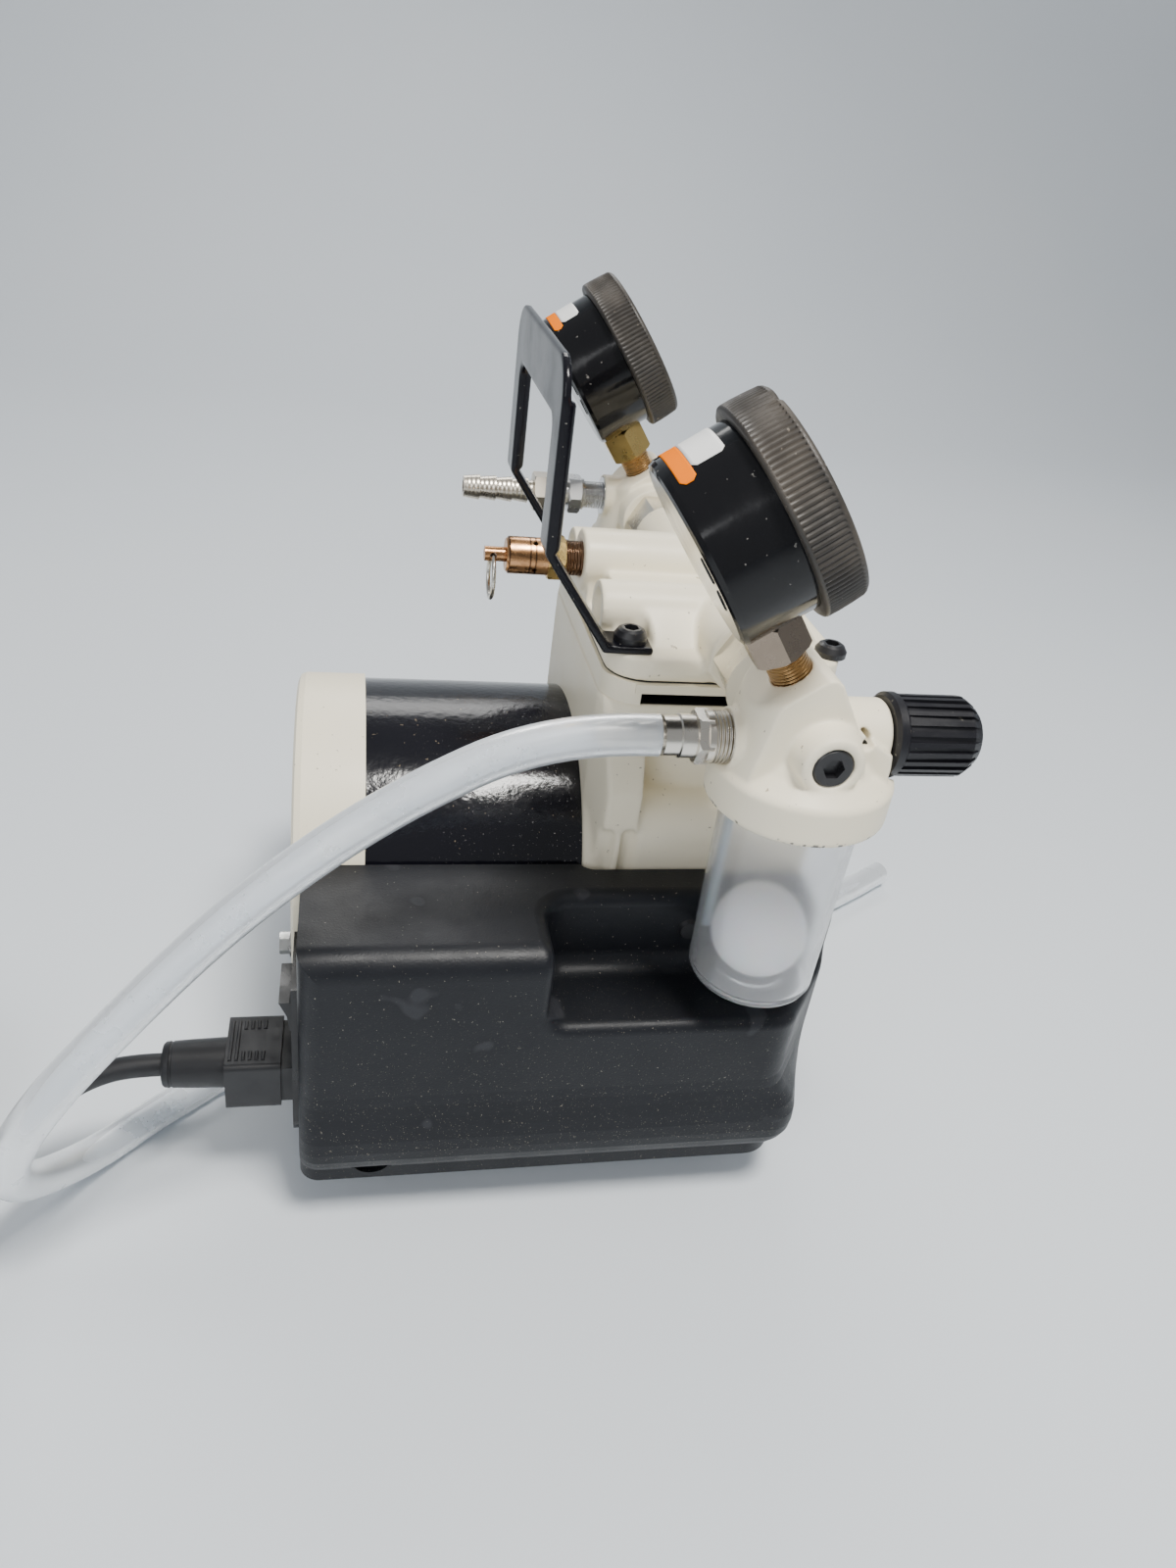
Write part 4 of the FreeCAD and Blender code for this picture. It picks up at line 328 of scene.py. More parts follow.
def floor():
    """Pale bench that curves up into a pale backdrop."""
    flat_end = BACKDROP_FAR - BACKDROP_BEND
    profile = [(BENCH_NEAR, 0.0), (flat_end, 0.0)]
    for i in range(1, BEND_STEPS + 1):
        a = math.pi / 2 * i / BEND_STEPS
        rise = BACKDROP_BEND - BACKDROP_BEND * math.cos(a)
        profile.append((flat_end + BACKDROP_BEND * math.sin(a), rise))
    profile.append((BACKDROP_FAR, BACKDROP_TOP))
    verts = [(x, y, z) for y, z in profile for x in (-BENCH_HALF_WIDTH, BENCH_HALF_WIDTH)]
    faces = [(2 * i, 2 * i + 1, 2 * i + 3, 2 * i + 2) for i in range(len(profile) - 1)]
    mesh = bpy.data.meshes.new("bench_surface")
    mesh.from_pydata(verts, [], faces)
    mesh.polygons.foreach_set("use_smooth", [True] * len(mesh.polygons))
    obj = bpy.data.objects.new("bench_surface", mesh)
    bpy.context.scene.collection.objects.link(obj)
    look = Surface("bench_paint", (0.74, 0.78, 0.82), 0.55)
    look.mottle((0.70, 0.75, 0.80), 3.0, 0.5)
    mesh.materials.append(look.mat)


# Materials


class Surface:
    """A node material built up in steps round one Principled shader, patterned in the part's own frame."""

    # Sockets of a Mix node that carry its factor and its colours
    MIX_FACTOR, MIX_A, MIX_B, MIX_RESULT = 0, 6, 7, 2
    # Noise values between which a mottle and a wear pass from one end to the other
    MOTTLE_FADE = (0.35, 0.75)
    WEAR_FADE = (0.3, 0.7)
    # Noise value above which half the surface lies, how far the rest spreads, and the softness of a speck
    SPECK_MIDDLE = 0.5
    SPECK_SPREAD = 0.22
    SPECK_EDGE = 0.03

    def __init__(self, name, colour, roughness, metallic=0.0, **sockets):
        self.name = name
        self.mat = bpy.data.materials.new(name)
        self.mat.use_nodes = True
        self.nodes = self.mat.node_tree.nodes
        self.links = self.mat.node_tree.links
        self.shader = self.nodes["Principled BSDF"]
        self.shader.inputs["Base Color"].default_value = (*colour, 1)
        self.shader.inputs["Roughness"].default_value = roughness
        self.shader.inputs["Metallic"].default_value = metallic
        for key, value in sockets.items():
            self.shader.inputs[key.replace("_", " ")].default_value = value
        self.place = self.nodes.new("ShaderNodeTexCoord").outputs["Object"]
        self.colour = colour
        self.colour_out = None
        self.bump_out = None

    def noise(self, scale, detail=3.0, rough=0.5, place=None):
        node = self.nodes.new("ShaderNodeTexNoise")
        node.inputs["Scale"].default_value = scale
        node.inputs["Detail"].default_value = detail
        node.inputs["Roughness"].default_value = rough
        self.links.new(place or self.place, node.inputs["Vector"])
        return node.outputs["Fac"]

    def stretched(self, x, y, z):
        node = self.nodes.new("ShaderNodeMapping")
        node.inputs["Scale"].default_value = (x, y, z)
        self.links.new(self.place, node.inputs["Vector"])
        return node.outputs["Vector"]

    def ramp(self, value, low, high, to_low=0.0, to_high=1.0):
        node = self.nodes.new("ShaderNodeMapRange")
        node.inputs["From Min"].default_value = low
        node.inputs["From Max"].default_value = high
        node.inputs["To Min"].default_value = to_low
        node.inputs["To Max"].default_value = to_high
        self.links.new(value, node.inputs["Value"])
        return node.outputs["Result"]

    def times(self, a, b):
        node = self.nodes.new("ShaderNodeMath")
        node.operation = "MULTIPLY"
        self.links.new(a, node.inputs[0])
        if isinstance(b, float):
            node.inputs[1].default_value = b
        else:
            self.links.new(b, node.inputs[1])
        return node.outputs[0]

    def toward(self, direction, low, high):
        """From 0 at low to 1 at high along a direction, in millimetres."""
        return self.ramp(self.distance(direction), low * MM, high * MM)

    def sideways(self, low, high):
        """From 0 at low to 1 at high, measured out from the middle plane to both sides, in millimetres."""
        return self.ramp(self.maths("ABSOLUTE", self.distance(LEFT)), low * MM, high * MM)

    def distance(self, direction):
        """Distance from the origin along a direction, in metres."""
        node = self.nodes.new("ShaderNodeVectorMath")
        node.operation = "DOT_PRODUCT"
        node.inputs[1].default_value = direction
        self.links.new(self.place, node.inputs[0])
        return node.outputs["Value"]

    def maths(self, operation, a, b=None):
        node = self.nodes.new("ShaderNodeMath")
        node.operation = operation
        self.links.new(a, node.inputs[0])
        if b is not None:
            node.inputs[1].default_value = b
        return node.outputs[0]

    def between(self, direction, low, high, soft=0.15):
        """1 between two places along a direction, in millimetres."""
        middle = (low + high) / 2
        off = self.maths("ABSOLUTE", self.maths("SUBTRACT", self.distance(direction), middle * MM))
        half = (high - low) / 2
        return self.ramp(off, (half + soft) * MM, (half - soft) * MM)

    def rings(self, direction, low, high, pitch, strength, distance):
        """Thread or fine turned rings in relief between two places along a direction."""
        turns = self.maths("MULTIPLY", self.distance(direction), 2 * math.pi / (pitch * MM))
        wave = self.maths("SINE", turns)
        node = self.nodes.new("ShaderNodeBump")
        node.inputs["Strength"].default_value = strength
        node.inputs["Distance"].default_value = distance * MM
        self.links.new(self.times(wave, self.between(direction, low, high)), node.inputs["Height"])
        return self.add_relief(node)

    def mix_in(self, colour, factor):
        node = self.nodes.new("ShaderNodeMix")
        node.data_type = "RGBA"
        if self.colour_out:
            self.links.new(self.colour_out, node.inputs[self.MIX_A])
        else:
            node.inputs[self.MIX_A].default_value = (*self.colour, 1)
        node.inputs[self.MIX_B].default_value = (*colour, 1)
        self.links.new(factor, node.inputs[self.MIX_FACTOR])
        self.colour_out = node.outputs[self.MIX_RESULT]
        self.links.new(self.colour_out, self.shader.inputs["Base Color"])
        return self

    def mottle(self, colour, scale, amount):
        """Broad, soft variation of colour."""
        return self.mix_in(colour, self.ramp(self.noise(scale, 4), *self.MOTTLE_FADE, 0.0, amount))

    def specks(self, colour, scale, share, amount=1.0, where=None):
        """Small spots that cover about this share of the surface."""
        edge = self.SPECK_MIDDLE + self.SPECK_SPREAD * (1 - 2 * share)
        spots = self.ramp(self.noise(scale, 2, 0.6), edge, edge + self.SPECK_EDGE, 0.0, amount)
        if where is not None:
            spots = self.times(spots, where)
        return self.mix_in(colour, spots)

    def wear(self, low, high, scale=90, place=None):
        """Roughness that varies between two values."""
        value = self.ramp(self.noise(scale, 4, 0.6, place), *self.WEAR_FADE, low, high)
        self.links.new(value, self.shader.inputs["Roughness"])
        return self

    def bump(self, scale, strength, distance=0.0004, detail=3):
        """Fine uneven relief, its distance in metres."""
        node = self.nodes.new("ShaderNodeBump")
        node.inputs["Strength"].default_value = strength
        node.inputs["Distance"].default_value = distance
        self.links.new(self.noise(scale, detail, 0.55), node.inputs["Height"])
        return self.add_relief(node)

    def add_relief(self, node):
        """Lays a bump node over the relief that is there so far."""
        if self.bump_out:
            self.links.new(self.bump_out, node.inputs["Normal"])
        self.bump_out = node.outputs["Normal"]
        self.links.new(self.bump_out, self.shader.inputs["Normal"])
        return self


# Plain looks: name, colour, roughness, share of metal, range and scale of the wear, and numbers of the bump
PLAIN_LOOKS = [
    ("black_rubber", (0.018, 0.018, 0.018), 0.7, 0.0, (0.6, 0.8), (500, 0.1)),
    ("zinc_screw", (0.55, 0.55, 0.53), 0.3, 1.0, (0.2, 0.45, 300), None),
    ("plate_steel", (0.42, 0.43, 0.44), 0.4, 1.0, (0.3, 0.5, 60), (300, 0.05)),
    ("switch_plastic", (0.012, 0.012, 0.014), 0.3, 0.0, (0.22, 0.4), (900, 0.05)),
    ("capacitor_can", (0.05, 0.05, 0.055), 0.3, 0.0, (0.2, 0.4), None),
    ("core_steel", (0.28, 0.28, 0.29), 0.45, 1.0, None, (60, 0.4, 0.0004, 1)),
    ("copper_wire", (0.50, 0.20, 0.07), 0.35, 0.6, None, (420, 0.6, 0.0006)),
    ("rotor_metal", (0.60, 0.61, 0.62), 0.4, 1.0, (0.3, 0.5), (400, 0.08)),
    ("shaft_steel", (0.60, 0.60, 0.61), 0.22, 1.0, (0.15, 0.3, 150), None),
    ("cast_iron_grey", (0.22, 0.22, 0.23), 0.6, 0.8, None, (350, 0.3)),
    ("rod_alloy", (0.63, 0.64, 0.65), 0.42, 1.0, (0.35, 0.55), (500, 0.15)),
    ("seal_black", (0.02, 0.02, 0.02), 0.6, 0.0, (0.5, 0.7), None),
    ("cup_white", (0.70, 0.67, 0.57), 0.5, 0.0, (0.4, 0.6), None),
    ("sleeve_alloy", (0.50, 0.51, 0.52), 0.3, 1.0, (0.2, 0.4, 200), None),
    ("reed_steel", (0.58, 0.58, 0.56), 0.25, 1.0, (0.2, 0.35), None),
    ("pointer_black", (0.01, 0.01, 0.01), 0.4, 0.0, (0.3, 0.5), None),
    ("print_black", (0.02, 0.02, 0.02), 0.5, 0.0, (0.4, 0.6), None),
    ("cord_black", (0.012, 0.012, 0.014), 0.45, 0.0, (0.36, 0.55, 120), (800, 0.12, 0.0002)),
]


def plain(name, colour, roughness, metallic, wear, bump):
    look = Surface(name, colour, roughness, metallic)
    if wear:
        look.wear(*wear)
    if bump:
        look.bump(*bump)
    return look


def cream_paint():
    """Painted castings, with painted shade inside the air slots, the chipped rims, and patches of painted
    shade for the oval recesses of the crankcase.
    """
    look = Surface("cream_paint", (0.93, 0.855, 0.67), 0.42, Specular_IOR_Level=0.35)
    look.mottle((0.88, 0.79, 0.58), 14, 0.45).specks((0.30, 0.24, 0.15), 420, 0.012, 0.75)
    look.wear(0.32, 0.50, 60).bump(620, 0.16, 0.00025).bump(40, 0.10, 0.0008)
    # Painted shade: the inside of the air slots is coloured near-black, standing in for the shade in them
    slot = look.times(look.between(FORWARD, *AIR_SLOT_X, 0.1), look.between(UP, *AIR_SLOT_Z, 0.1))
    painted_slot_shade = look.sideways(*AIR_SLOT_Y[::-1])
    look.mix_in((0.012, 0.012, 0.012), look.times(slot, painted_slot_shade))
    rim = look.times(look.between(UP, *CHIPPED_RIM_Z, 0.3), look.sideways(*REGULATOR_Y))
    look.specks((0.05, 0.045, 0.04), 300, 0.38, 0.9, rim)
    # Painted shade: darker oval patches on each side of the crankcase stand in for the shade of the oval
    # recesses
    side = look.sideways(*CRANKCASE_SIDE_Y)
    for x in OVAL_XS:
        across = look.between(FORWARD, x - OVAL_HALF_WIDTH, x + OVAL_HALF_WIDTH, 0.5)
        oval = look.times(across, look.between(UP, *OVAL_Z, 0.8))
        look.mix_in((0.46, 0.41, 0.31), look.times(oval, side))
    return look


def motor_black():
    """Glossy black paint with dust, thickest towards the crankcase."""
    look = Surface("motor_black", (0.005, 0.005, 0.008), 0.14, Specular_IOR_Level=0.4)
    look.specks((0.46, 0.44, 0.41), 1300, 0.075, 0.6, look.toward(FORWARD, -62, -6))
    look.specks((0.34, 0.27, 0.18), 420, 0.012, 0.5)
    look.wear(0.09, 0.24, 30, look.stretched(0.4, 1, 1))
    return look.bump(360, 0.55, 0.00022).bump(60, 0.12, 0.0009)


def base_plastic():
    """Black moulded plastic, dusty low down."""
    look = Surface("base_plastic", (0.008, 0.009, 0.012), 0.42, Specular_IOR_Level=0.28)
    look.specks((0.42, 0.36, 0.27), 1900, 0.075, 0.65, look.toward(UP, 120, 40))
    look.specks((0.40, 0.36, 0.30), 1000, 0.006, 0.6).specks((0.035, 0.036, 0.042), 40, 0.12, 0.6)
    return look.wear(0.34, 0.52, 40).bump(1500, 0.40, 0.0002).bump(420, 0.12, 0.0003)


def black_screw():
    look = Surface("black_screw", (0.014, 0.014, 0.016), 0.32)
    return look.specks((0.25, 0.18, 0.12), 700, 0.01, 0.6).wear(0.25, 0.45, 200)


def handle_black():
    look = Surface("handle_black", (0.006, 0.006, 0.009), 0.16, Specular_IOR_Level=0.24)
    return look.specks((0.30, 0.29, 0.26), 620, 0.006, 0.6).wear(0.10, 0.26, 50).bump(60, 0.06, 0.0005)


def brass_bright():
    look = Surface("brass_bright", (0.80, 0.58, 0.22), 0.26, 1.0)
    return look.mottle((0.55, 0.36, 0.12), 90, 0.6).wear(0.18, 0.36, 200).bump(500, 0.04)


def copper_brass():
    look = Surface("copper_brass", (0.62, 0.33, 0.15), 0.26, 1.0)
    return look.mottle((0.36, 0.16, 0.07), 110, 0.7).wear(0.18, 0.38, 200).bump(500, 0.05)


def nickel():
    look = Surface("nickel", (0.72, 0.69, 0.62), 0.24, 1.0)
    return look.mottle((0.55, 0.50, 0.42), 40, 0.5).wear(0.20, 0.32, 60)


def gauge_stem():
    """Brass stems: threaded and reddish below, their hexagons bright, the near side's hexagon tarnished."""
    look = Surface("gauge_stem", (0.80, 0.58, 0.22), 0.30, 1.0)
    port = GAUGE_PORT.dot(STEM_AXIS)
    hexagon = look.toward(STEM_AXIS, port + 7.7, port + 8.1)
    near_side = look.toward(LEFT, 10, -10)
    look.mottle((0.56, 0.38, 0.14), 90, 0.6)
    look.mix_in((0.52, 0.33, 0.15), look.toward(STEM_AXIS, port + 7.9, port + 7.5))
    look.mix_in((0.24, 0.20, 0.17), look.times(look.times(hexagon, near_side), 0.95))
    return look.wear(0.22, 0.40, 200).bump(500, 0.05).rings(STEM_AXIS, port - 8, port + 7.7, 1.1, 0.9, 0.35)


def relief_valve():
    """Coppery relief valve: brass hexagon, darker thread and three dark grooves."""
    look = Surface("relief_valve", (0.62, 0.34, 0.16), 0.26, 1.0)
    look.mottle((0.40, 0.20, 0.09), 110, 0.6)
    look.mix_in((0.82, 0.58, 0.22), look.between(FORWARD, RELIEF_FACE - 12.1, RELIEF_FACE - 6.0))
    look.mix_in((0.22, 0.13, 0.08), look.between(FORWARD, RELIEF_FACE - 5.8, RELIEF_FACE + 1, 0.2))
    for groove in (17.0, 19.0, 26.4):
        rear = RELIEF_FACE - groove
        look.mix_in((0.10, 0.05, 0.03), look.between(FORWARD, rear, rear + 0.5))
    look.wear(0.18, 0.36, 200).bump(500, 0.04)
    return look.rings(FORWARD, RELIEF_FACE - 5.8, RELIEF_FACE, 1.2, 0.8, 0.35)


def vacuum_barb():
    """Nickelled tail of the hose, with its thread in relief."""
    look = Surface("vacuum_barb", (0.72, 0.69, 0.62), 0.24, 1.0)
    look.mottle((0.62, 0.50, 0.38), 40, 0.5).wear(0.22, 0.34, 40)
    return look.rings(FORWARD, 21.2, 27.0, 1.2, 0.9, 0.4)


def pressure_barb():
    """Bright tail on the other side: warmer to the rear, with its thread and fine ridges in relief."""
    look = Surface("pressure_barb", (0.70, 0.70, 0.70), 0.26, 1.0)
    look.mix_in((0.74, 0.66, 0.54), look.toward(FORWARD, 9.0, 8.0)).mottle((0.55, 0.52, 0.46), 40, 0.4)
    look.wear(0.22, 0.32, 40).rings(FORWARD, 16.2, 27.0, 1.1, 0.9, 0.35)
    return look.rings(FORWARD, -34.0, -5.2, 1.9, 0.25, 0.2)


def knob_plastic():
    look = Surface("knob_plastic", (0.010, 0.010, 0.013), 0.36, Specular_IOR_Level=0.4)
    return look.specks((0.30, 0.27, 0.22), 500, 0.003, 0.5).wear(0.28, 0.46, 120).bump(1200, 0.08)


def gauge_black():
    look = Surface("gauge_black", (0.005, 0.005, 0.006), 0.10, Specular_IOR_Level=0.32)
    look.specks((0.40, 0.38, 0.35), 420, 0.010, 0.4).wear(0.06, 0.20, 40)
    return look.bump(52, 0.22, 0.0010).bump(700, 0.04)


def bezel_black():
    look = Surface("bezel_black", (0.030, 0.026, 0.022), 0.48, Specular_IOR_Level=0.45)
    look.mottle((0.085, 0.072, 0.058), 60, 0.9).specks((0.36, 0.31, 0.25), 500, 0.006, 0.6)
    return look.wear(0.38, 0.58, 120).bump(900, 0.10)


def gauge_glass():
    look = Surface("gauge_glass", (0.97, 0.98, 0.98), 0.02, Transmission_Weight=1.0, IOR=1.49)
    return look.wear(0.01, 0.05)


def dial_white():
    return Surface("dial_white", (0.86, 0.86, 0.83), 0.5).mottle((0.80, 0.79, 0.74), 40, 0.5)


def jar_clear():
    look = Surface("jar_clear", (0.98, 0.985, 1.0), 0.16, Transmission_Weight=0.92, IOR=1.38)
    return look.wear(0.12, 0.20, 80, look.stretched(1, 1, 0.3)).bump(300, 0.02)


def ball_white():
    look = Surface("ball_white", (0.92, 0.93, 0.95), 0.35, Subsurface_Weight=0.3, Subsurface_Scale=0.01)
    return look.wear(0.3, 0.4)


def hose_clear():
    look = Surface("hose_clear", (0.93, 0.965, 1.0), 0.34, Transmission_Weight=0.60, IOR=1.34)
    return look.mottle((0.89, 0.94, 0.98), 20, 0.4).wear(0.24, 0.38, 60).bump(120, 0.03, 0.0004)


def sticker_orange():
    look = Surface("sticker_orange", (0.95, 0.22, 0.0), 0.5, Specular_IOR_Level=0.0)
    return look.mottle((0.88, 0.17, 0.0), 60, 0.5).wear(0.4, 0.6)


def sticker_white():
    look = Surface("sticker_white", (0.86, 0.86, 0.84), 0.4)
    return look.mottle((0.78, 0.78, 0.75), 80, 0.5).wear(0.3, 0.5)


def make_materials():
    """Every look by its name."""
    made = [plain(*row) for row in PLAIN_LOOKS]
    made += [
        cream_paint(), motor_black(), base_plastic(), black_screw(), handle_black(), brass_bright(),
        copper_brass(), nickel(), gauge_stem(), relief_valve(), vacuum_barb(), pressure_barb(),
        knob_plastic(), gauge_black(), bezel_black(), gauge_glass(), dial_white(), jar_clear(),
        ball_white(), hose_clear(), sticker_orange(), sticker_white(),
    ]
    return {look.name: look.mat for look in made}


# Meshes


def link_mesh(name, verts, faces, material, smooth_angle=35):
    """New object from points in metres, smooth but for edges sharper than the angle."""
    mesh = bpy.data.meshes.new(name)
    mesh.from_pydata([tuple(v) for v in verts], [], faces)
    mesh.validate()
    mesh.polygons.foreach_set("use_smooth", [True] * len(mesh.polygons))
    mesh.set_sharp_from_angle(angle=math.radians(smooth_angle))
    mesh.materials.append(material)
    obj = bpy.data.objects.new(name, mesh)
    bpy.context.scene.collection.objects.link(obj)
    return obj


def frame_of(axis):
    """The axis at unit length and two directions square to it."""
    axis = Vector(axis).normalized()
    helper = LEFT if abs(axis.y) < 0.9 else FORWARD
    u = helper.cross(axis).normalized()
    return axis, u, axis.cross(u)


def turned(name, profile, origin, axis, material, around=96, shape=None, smooth_angle=35):
    """Turned piece. profile lists (distance along, radius); shape may change a radius by angle and index."""
    axis, u, v = frame_of(axis)
    origin = Vector(origin)
    verts = []
    for k, (along, radius) in enumerate(profile):
        for i in range(around):
            angle = 2 * math.pi * i / around
            r = shape(angle, k, radius) if shape else radius
            out = u * (r * math.cos(angle)) + v * (r * math.sin(angle))
            verts.append((origin + axis * along + out) * MM)
    faces = []
    rings = len(profile)
    closed = profile[0] == profile[-1]
    for k in range(rings - 1):
        for i in range(around):
            j = (i + 1) % around
            faces.append((k * around + i, k * around + j, (k + 1) * around + j, (k + 1) * around + i))
    if not closed:
        faces.append(tuple(range(around - 1, -1, -1)))
        faces.append(tuple((rings - 1) * around + i for i in range(around)))
    obj = link_mesh(name, verts, faces, material, smooth_angle)
    tidy_mesh(obj)
    return obj


def tidy_mesh(obj):
    """Welds doubled points and points the faces outward."""
    mesh = bmesh.new()
    mesh.from_mesh(obj.data)
    bmesh.ops.remove_doubles(mesh, verts=mesh.verts, dist=1e-7)
    bmesh.ops.recalc_face_normals(mesh, faces=mesh.faces)
    mesh.to_mesh(obj.data)
    mesh.free()


def dress_nodes(looks):
    """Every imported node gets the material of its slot."""
    for part in frame["record"]["subparts"]:
        obj = frame["nodes"][part["node"]]
        obj.data.materials.clear()
        obj.data.materials.append(looks[NODE_LOOKS.get(part["node"], part["material_slot"])])
        obj.data.polygons.foreach_set("use_smooth", [True] * len(obj.data.polygons))


# Gauges


def gauge_at(side):
    """Middle of a gauge, where the axis of its stem meets the axis of its dial."""
    return GAUGE_PORT + STEM_AXIS * GAUGE_REACH + Vector((0, side * SIDE_Y, 0))


def bezel_rings(looks):
    """Moulded bezels with straight ribs round the rim; the near one has a nick at its top front edge."""
    r = BEZEL_RADIUS
    inner = GAUGE_CASE_RADIUS + 0.05
    lip = r - BEZEL_LIP - 1.5
    depth = BEZEL_DEPTH
    profile = [(0, r - 0.9), (0.5, r - 0.2), (1.0, r), (1.3, r), (4.0, r), (8.0, r - 0.2), (11.2, r - 0.5),
               (11.5, r - 0.5), (12.2, r - 0.8), (12.8, r - 1.4), (depth, r - 2.0), (depth, lip + 0.4),
               (depth - 0.5, lip), (depth - 2.5, lip), (depth - 2.5, inner), (0, inner), (0, r - 0.9)]
    ribbed = range(3, 7)
    nicked = range(7, 12)
    for side, name in ((-1, "bezel_right"), (1, "bezel_left")):
        def shape(angle, k, radius):
            if k in ribbed:
                groove = 0.5 - 0.5 * math.cos(angle * BEZEL_RIBS)
                radius -= BEZEL_RIB_DEPTH * groove ** 1.5
            if side < 0 and k in nicked:
                off = math.atan2(math.sin(angle - NICK_ANGLE), math.cos(angle - NICK_ANGLE))
                radius -= NICK_DEPTH * math.exp(-(off / NICK_WIDTH) ** 2)
            return radius
        start = gauge_at(side) + DIAL_AXIS * (GAUGE_CASE_FRONT - BEZEL_OVERLAP)
        ring = turned(name, profile, start, DIAL_AXIS, looks["bezel_black"], BEZEL_RIBS * 4, shape, 50)
        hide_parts("gauge_bezels")
        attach(ring, "pump")


def on_case(side, along, angle, radius):
    """Point on a gauge can; the angle is measured from +Y towards the top of the gauge."""
    return gauge_at(side) + DIAL_AXIS * along + LEFT * (radius * math.cos(angle)) + \
        STEM_AXIS * (radius * math.sin(angle))


def sticker(name, side, along, angles, material):
    """Thin blank label that wraps round a gauge can, with its open corners rounded."""
    low, high = along
    start, end = (math.radians(a) for a in angles)
    r = GAUGE_CASE_RADIUS + STICKER_THICKNESS
    across, around = STICKER_GRID
    verts = []
    for i in range(around + 1):
        angle = start + (end - start) * i / around
        rest = (end - angle) * r
        inset = 0.0
        if rest < STICKER_CORNER:
            inset = STICKER_CORNER - math.sqrt(max(0.0, STICKER_CORNER ** 2 - (STICKER_CORNER - rest) ** 2))
        for k in range(across + 1):
            share = k / across
            verts.append(on_case(side, low + inset + (high - low - 2 * inset) * share, angle, r) * MM)
    faces = []
    row = across + 1
    for i in range(around):
        for k in range(across):
            a = i * row + k
            faces.append((a, a + 1, a + row + 1, a + row))
    obj = link_mesh(name, verts, faces, material)
    thick = obj.modifiers.new("paper", "SOLIDIFY")
    thick.thickness = STICKER_THICKNESS * MM
    thick.offset = -1
    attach(obj, "pump")


def stickers(looks):
    """Blank inspection stickers: an orange band at the back and a white part towards the bezel."""
    for name, side, along, angles, look in STICKERS:
        sticker(name, side, along, angles, looks[look])


def back_vents(looks):
    """Two stamped oval slots in each gauge's back, each a rim and a dark floor."""
    count = BACK_SLOT_POINTS
    for side, label in ((-1, "right"), (1, "left")):
        for n, turn in enumerate(BACK_SLOT_TURNS, 1):
            angle = math.radians(turn)
            centre = on_case(side, -GAUGE_BACK - BACK_SLOT_LIFT, angle, BACK_SLOT_OUT)
            along = (LEFT * -math.sin(angle) + STEM_AXIS * math.cos(angle)).normalized()
            out = (LEFT * math.cos(angle) + STEM_AXIS * math.sin(angle)).normalized()
            verts = []
            for scale, lift in BACK_SLOT_RINGS:
                half_length = BACK_SLOT_HALF_LENGTH + BACK_SLOT_HALF_WIDTH * (scale - 1)
                for i in range(count):
                    a = 2 * math.pi * i / count
                    u = BACK_SLOT_HALF_WIDTH * scale * math.cos(a)
                    v = half_length * math.sin(a)
                    verts.append((centre + out * u + along * v - DIAL_AXIS * lift) * MM)
            faces = []
            for ring in range(len(BACK_SLOT_RINGS) - 1):
                low, high = ring * count, (ring + 1) * count
                for i in range(count):
                    j = (i + 1) % count
                    faces.append((low + i, low + j, high + j, high + i))
            ending = label + "_" + str(n)
            rim = link_mesh("gauge_vent_" + ending, verts, faces, looks["gauge_black"])
            well = link_mesh("gauge_vent_floor_" + ending, verts[-count:], [tuple(range(count))],
                             looks["print_black"])
            for obj in (rim, well):
                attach(obj, "pump")


def dial_point(side, angle, radius, lift=0.0):
    """Point on a dial: the angle runs clockwise from the top as the reader sees it."""
    return gauge_at(side) + DIAL_AXIS * (DIAL_FRONT + lift) + STEM_AXIS * (radius * math.cos(angle)) + \
        LEFT * (radius * math.sin(angle))


def dial_marks(looks):
    """Printed scale on each dial: an arc, ticks and plain numbers over three quarters of a turn."""
    begin = -DIAL_SWEEP / 2
    for side, label, top, step in DIAL_SCALES:
        verts = []
        faces = []

        def patch(inner, outer):
            """Flat patch between two edges, each a radius and its two angles."""
            first = len(verts)
            for radius, angles in (inner, (outer[0], outer[1][::-1])):
                verts.extend(dial_point(side, angle, radius, PRINT_LIFT) * MM for angle in angles)
            faces.append(tuple(range(first, first + 4)))

        count = top // step * TICKS_PER_STEP
        for i in range(count + 1):
            angle = begin + DIAL_SWEEP * i / count
            foot, half = LONG_TICK if i % TICKS_PER_STEP == 0 else SHORT_TICK
            patch((foot, (angle - half / foot, angle + half / foot)),
                  (ARC_INNER, (angle - half / ARC_INNER, angle + half / ARC_INNER)))
        for i in range(ARC_PARTS):
            ends = (begin + DIAL_SWEEP * i / ARC_PARTS, begin + DIAL_SWEEP * (i + 1) / ARC_PARTS)
            patch((ARC_INNER, ends), (ARC_OUTER, ends))
        marks = link_mesh("dial_marks_" + label, verts, faces, looks["print_black"])
        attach(marks, "pump")
        for i in range(top // step + 1):
            angle = begin + DIAL_SWEEP * i * step / top
            number(side, str(i * step), angle, "dial_number_" + label + "_" + str(i * step), looks)


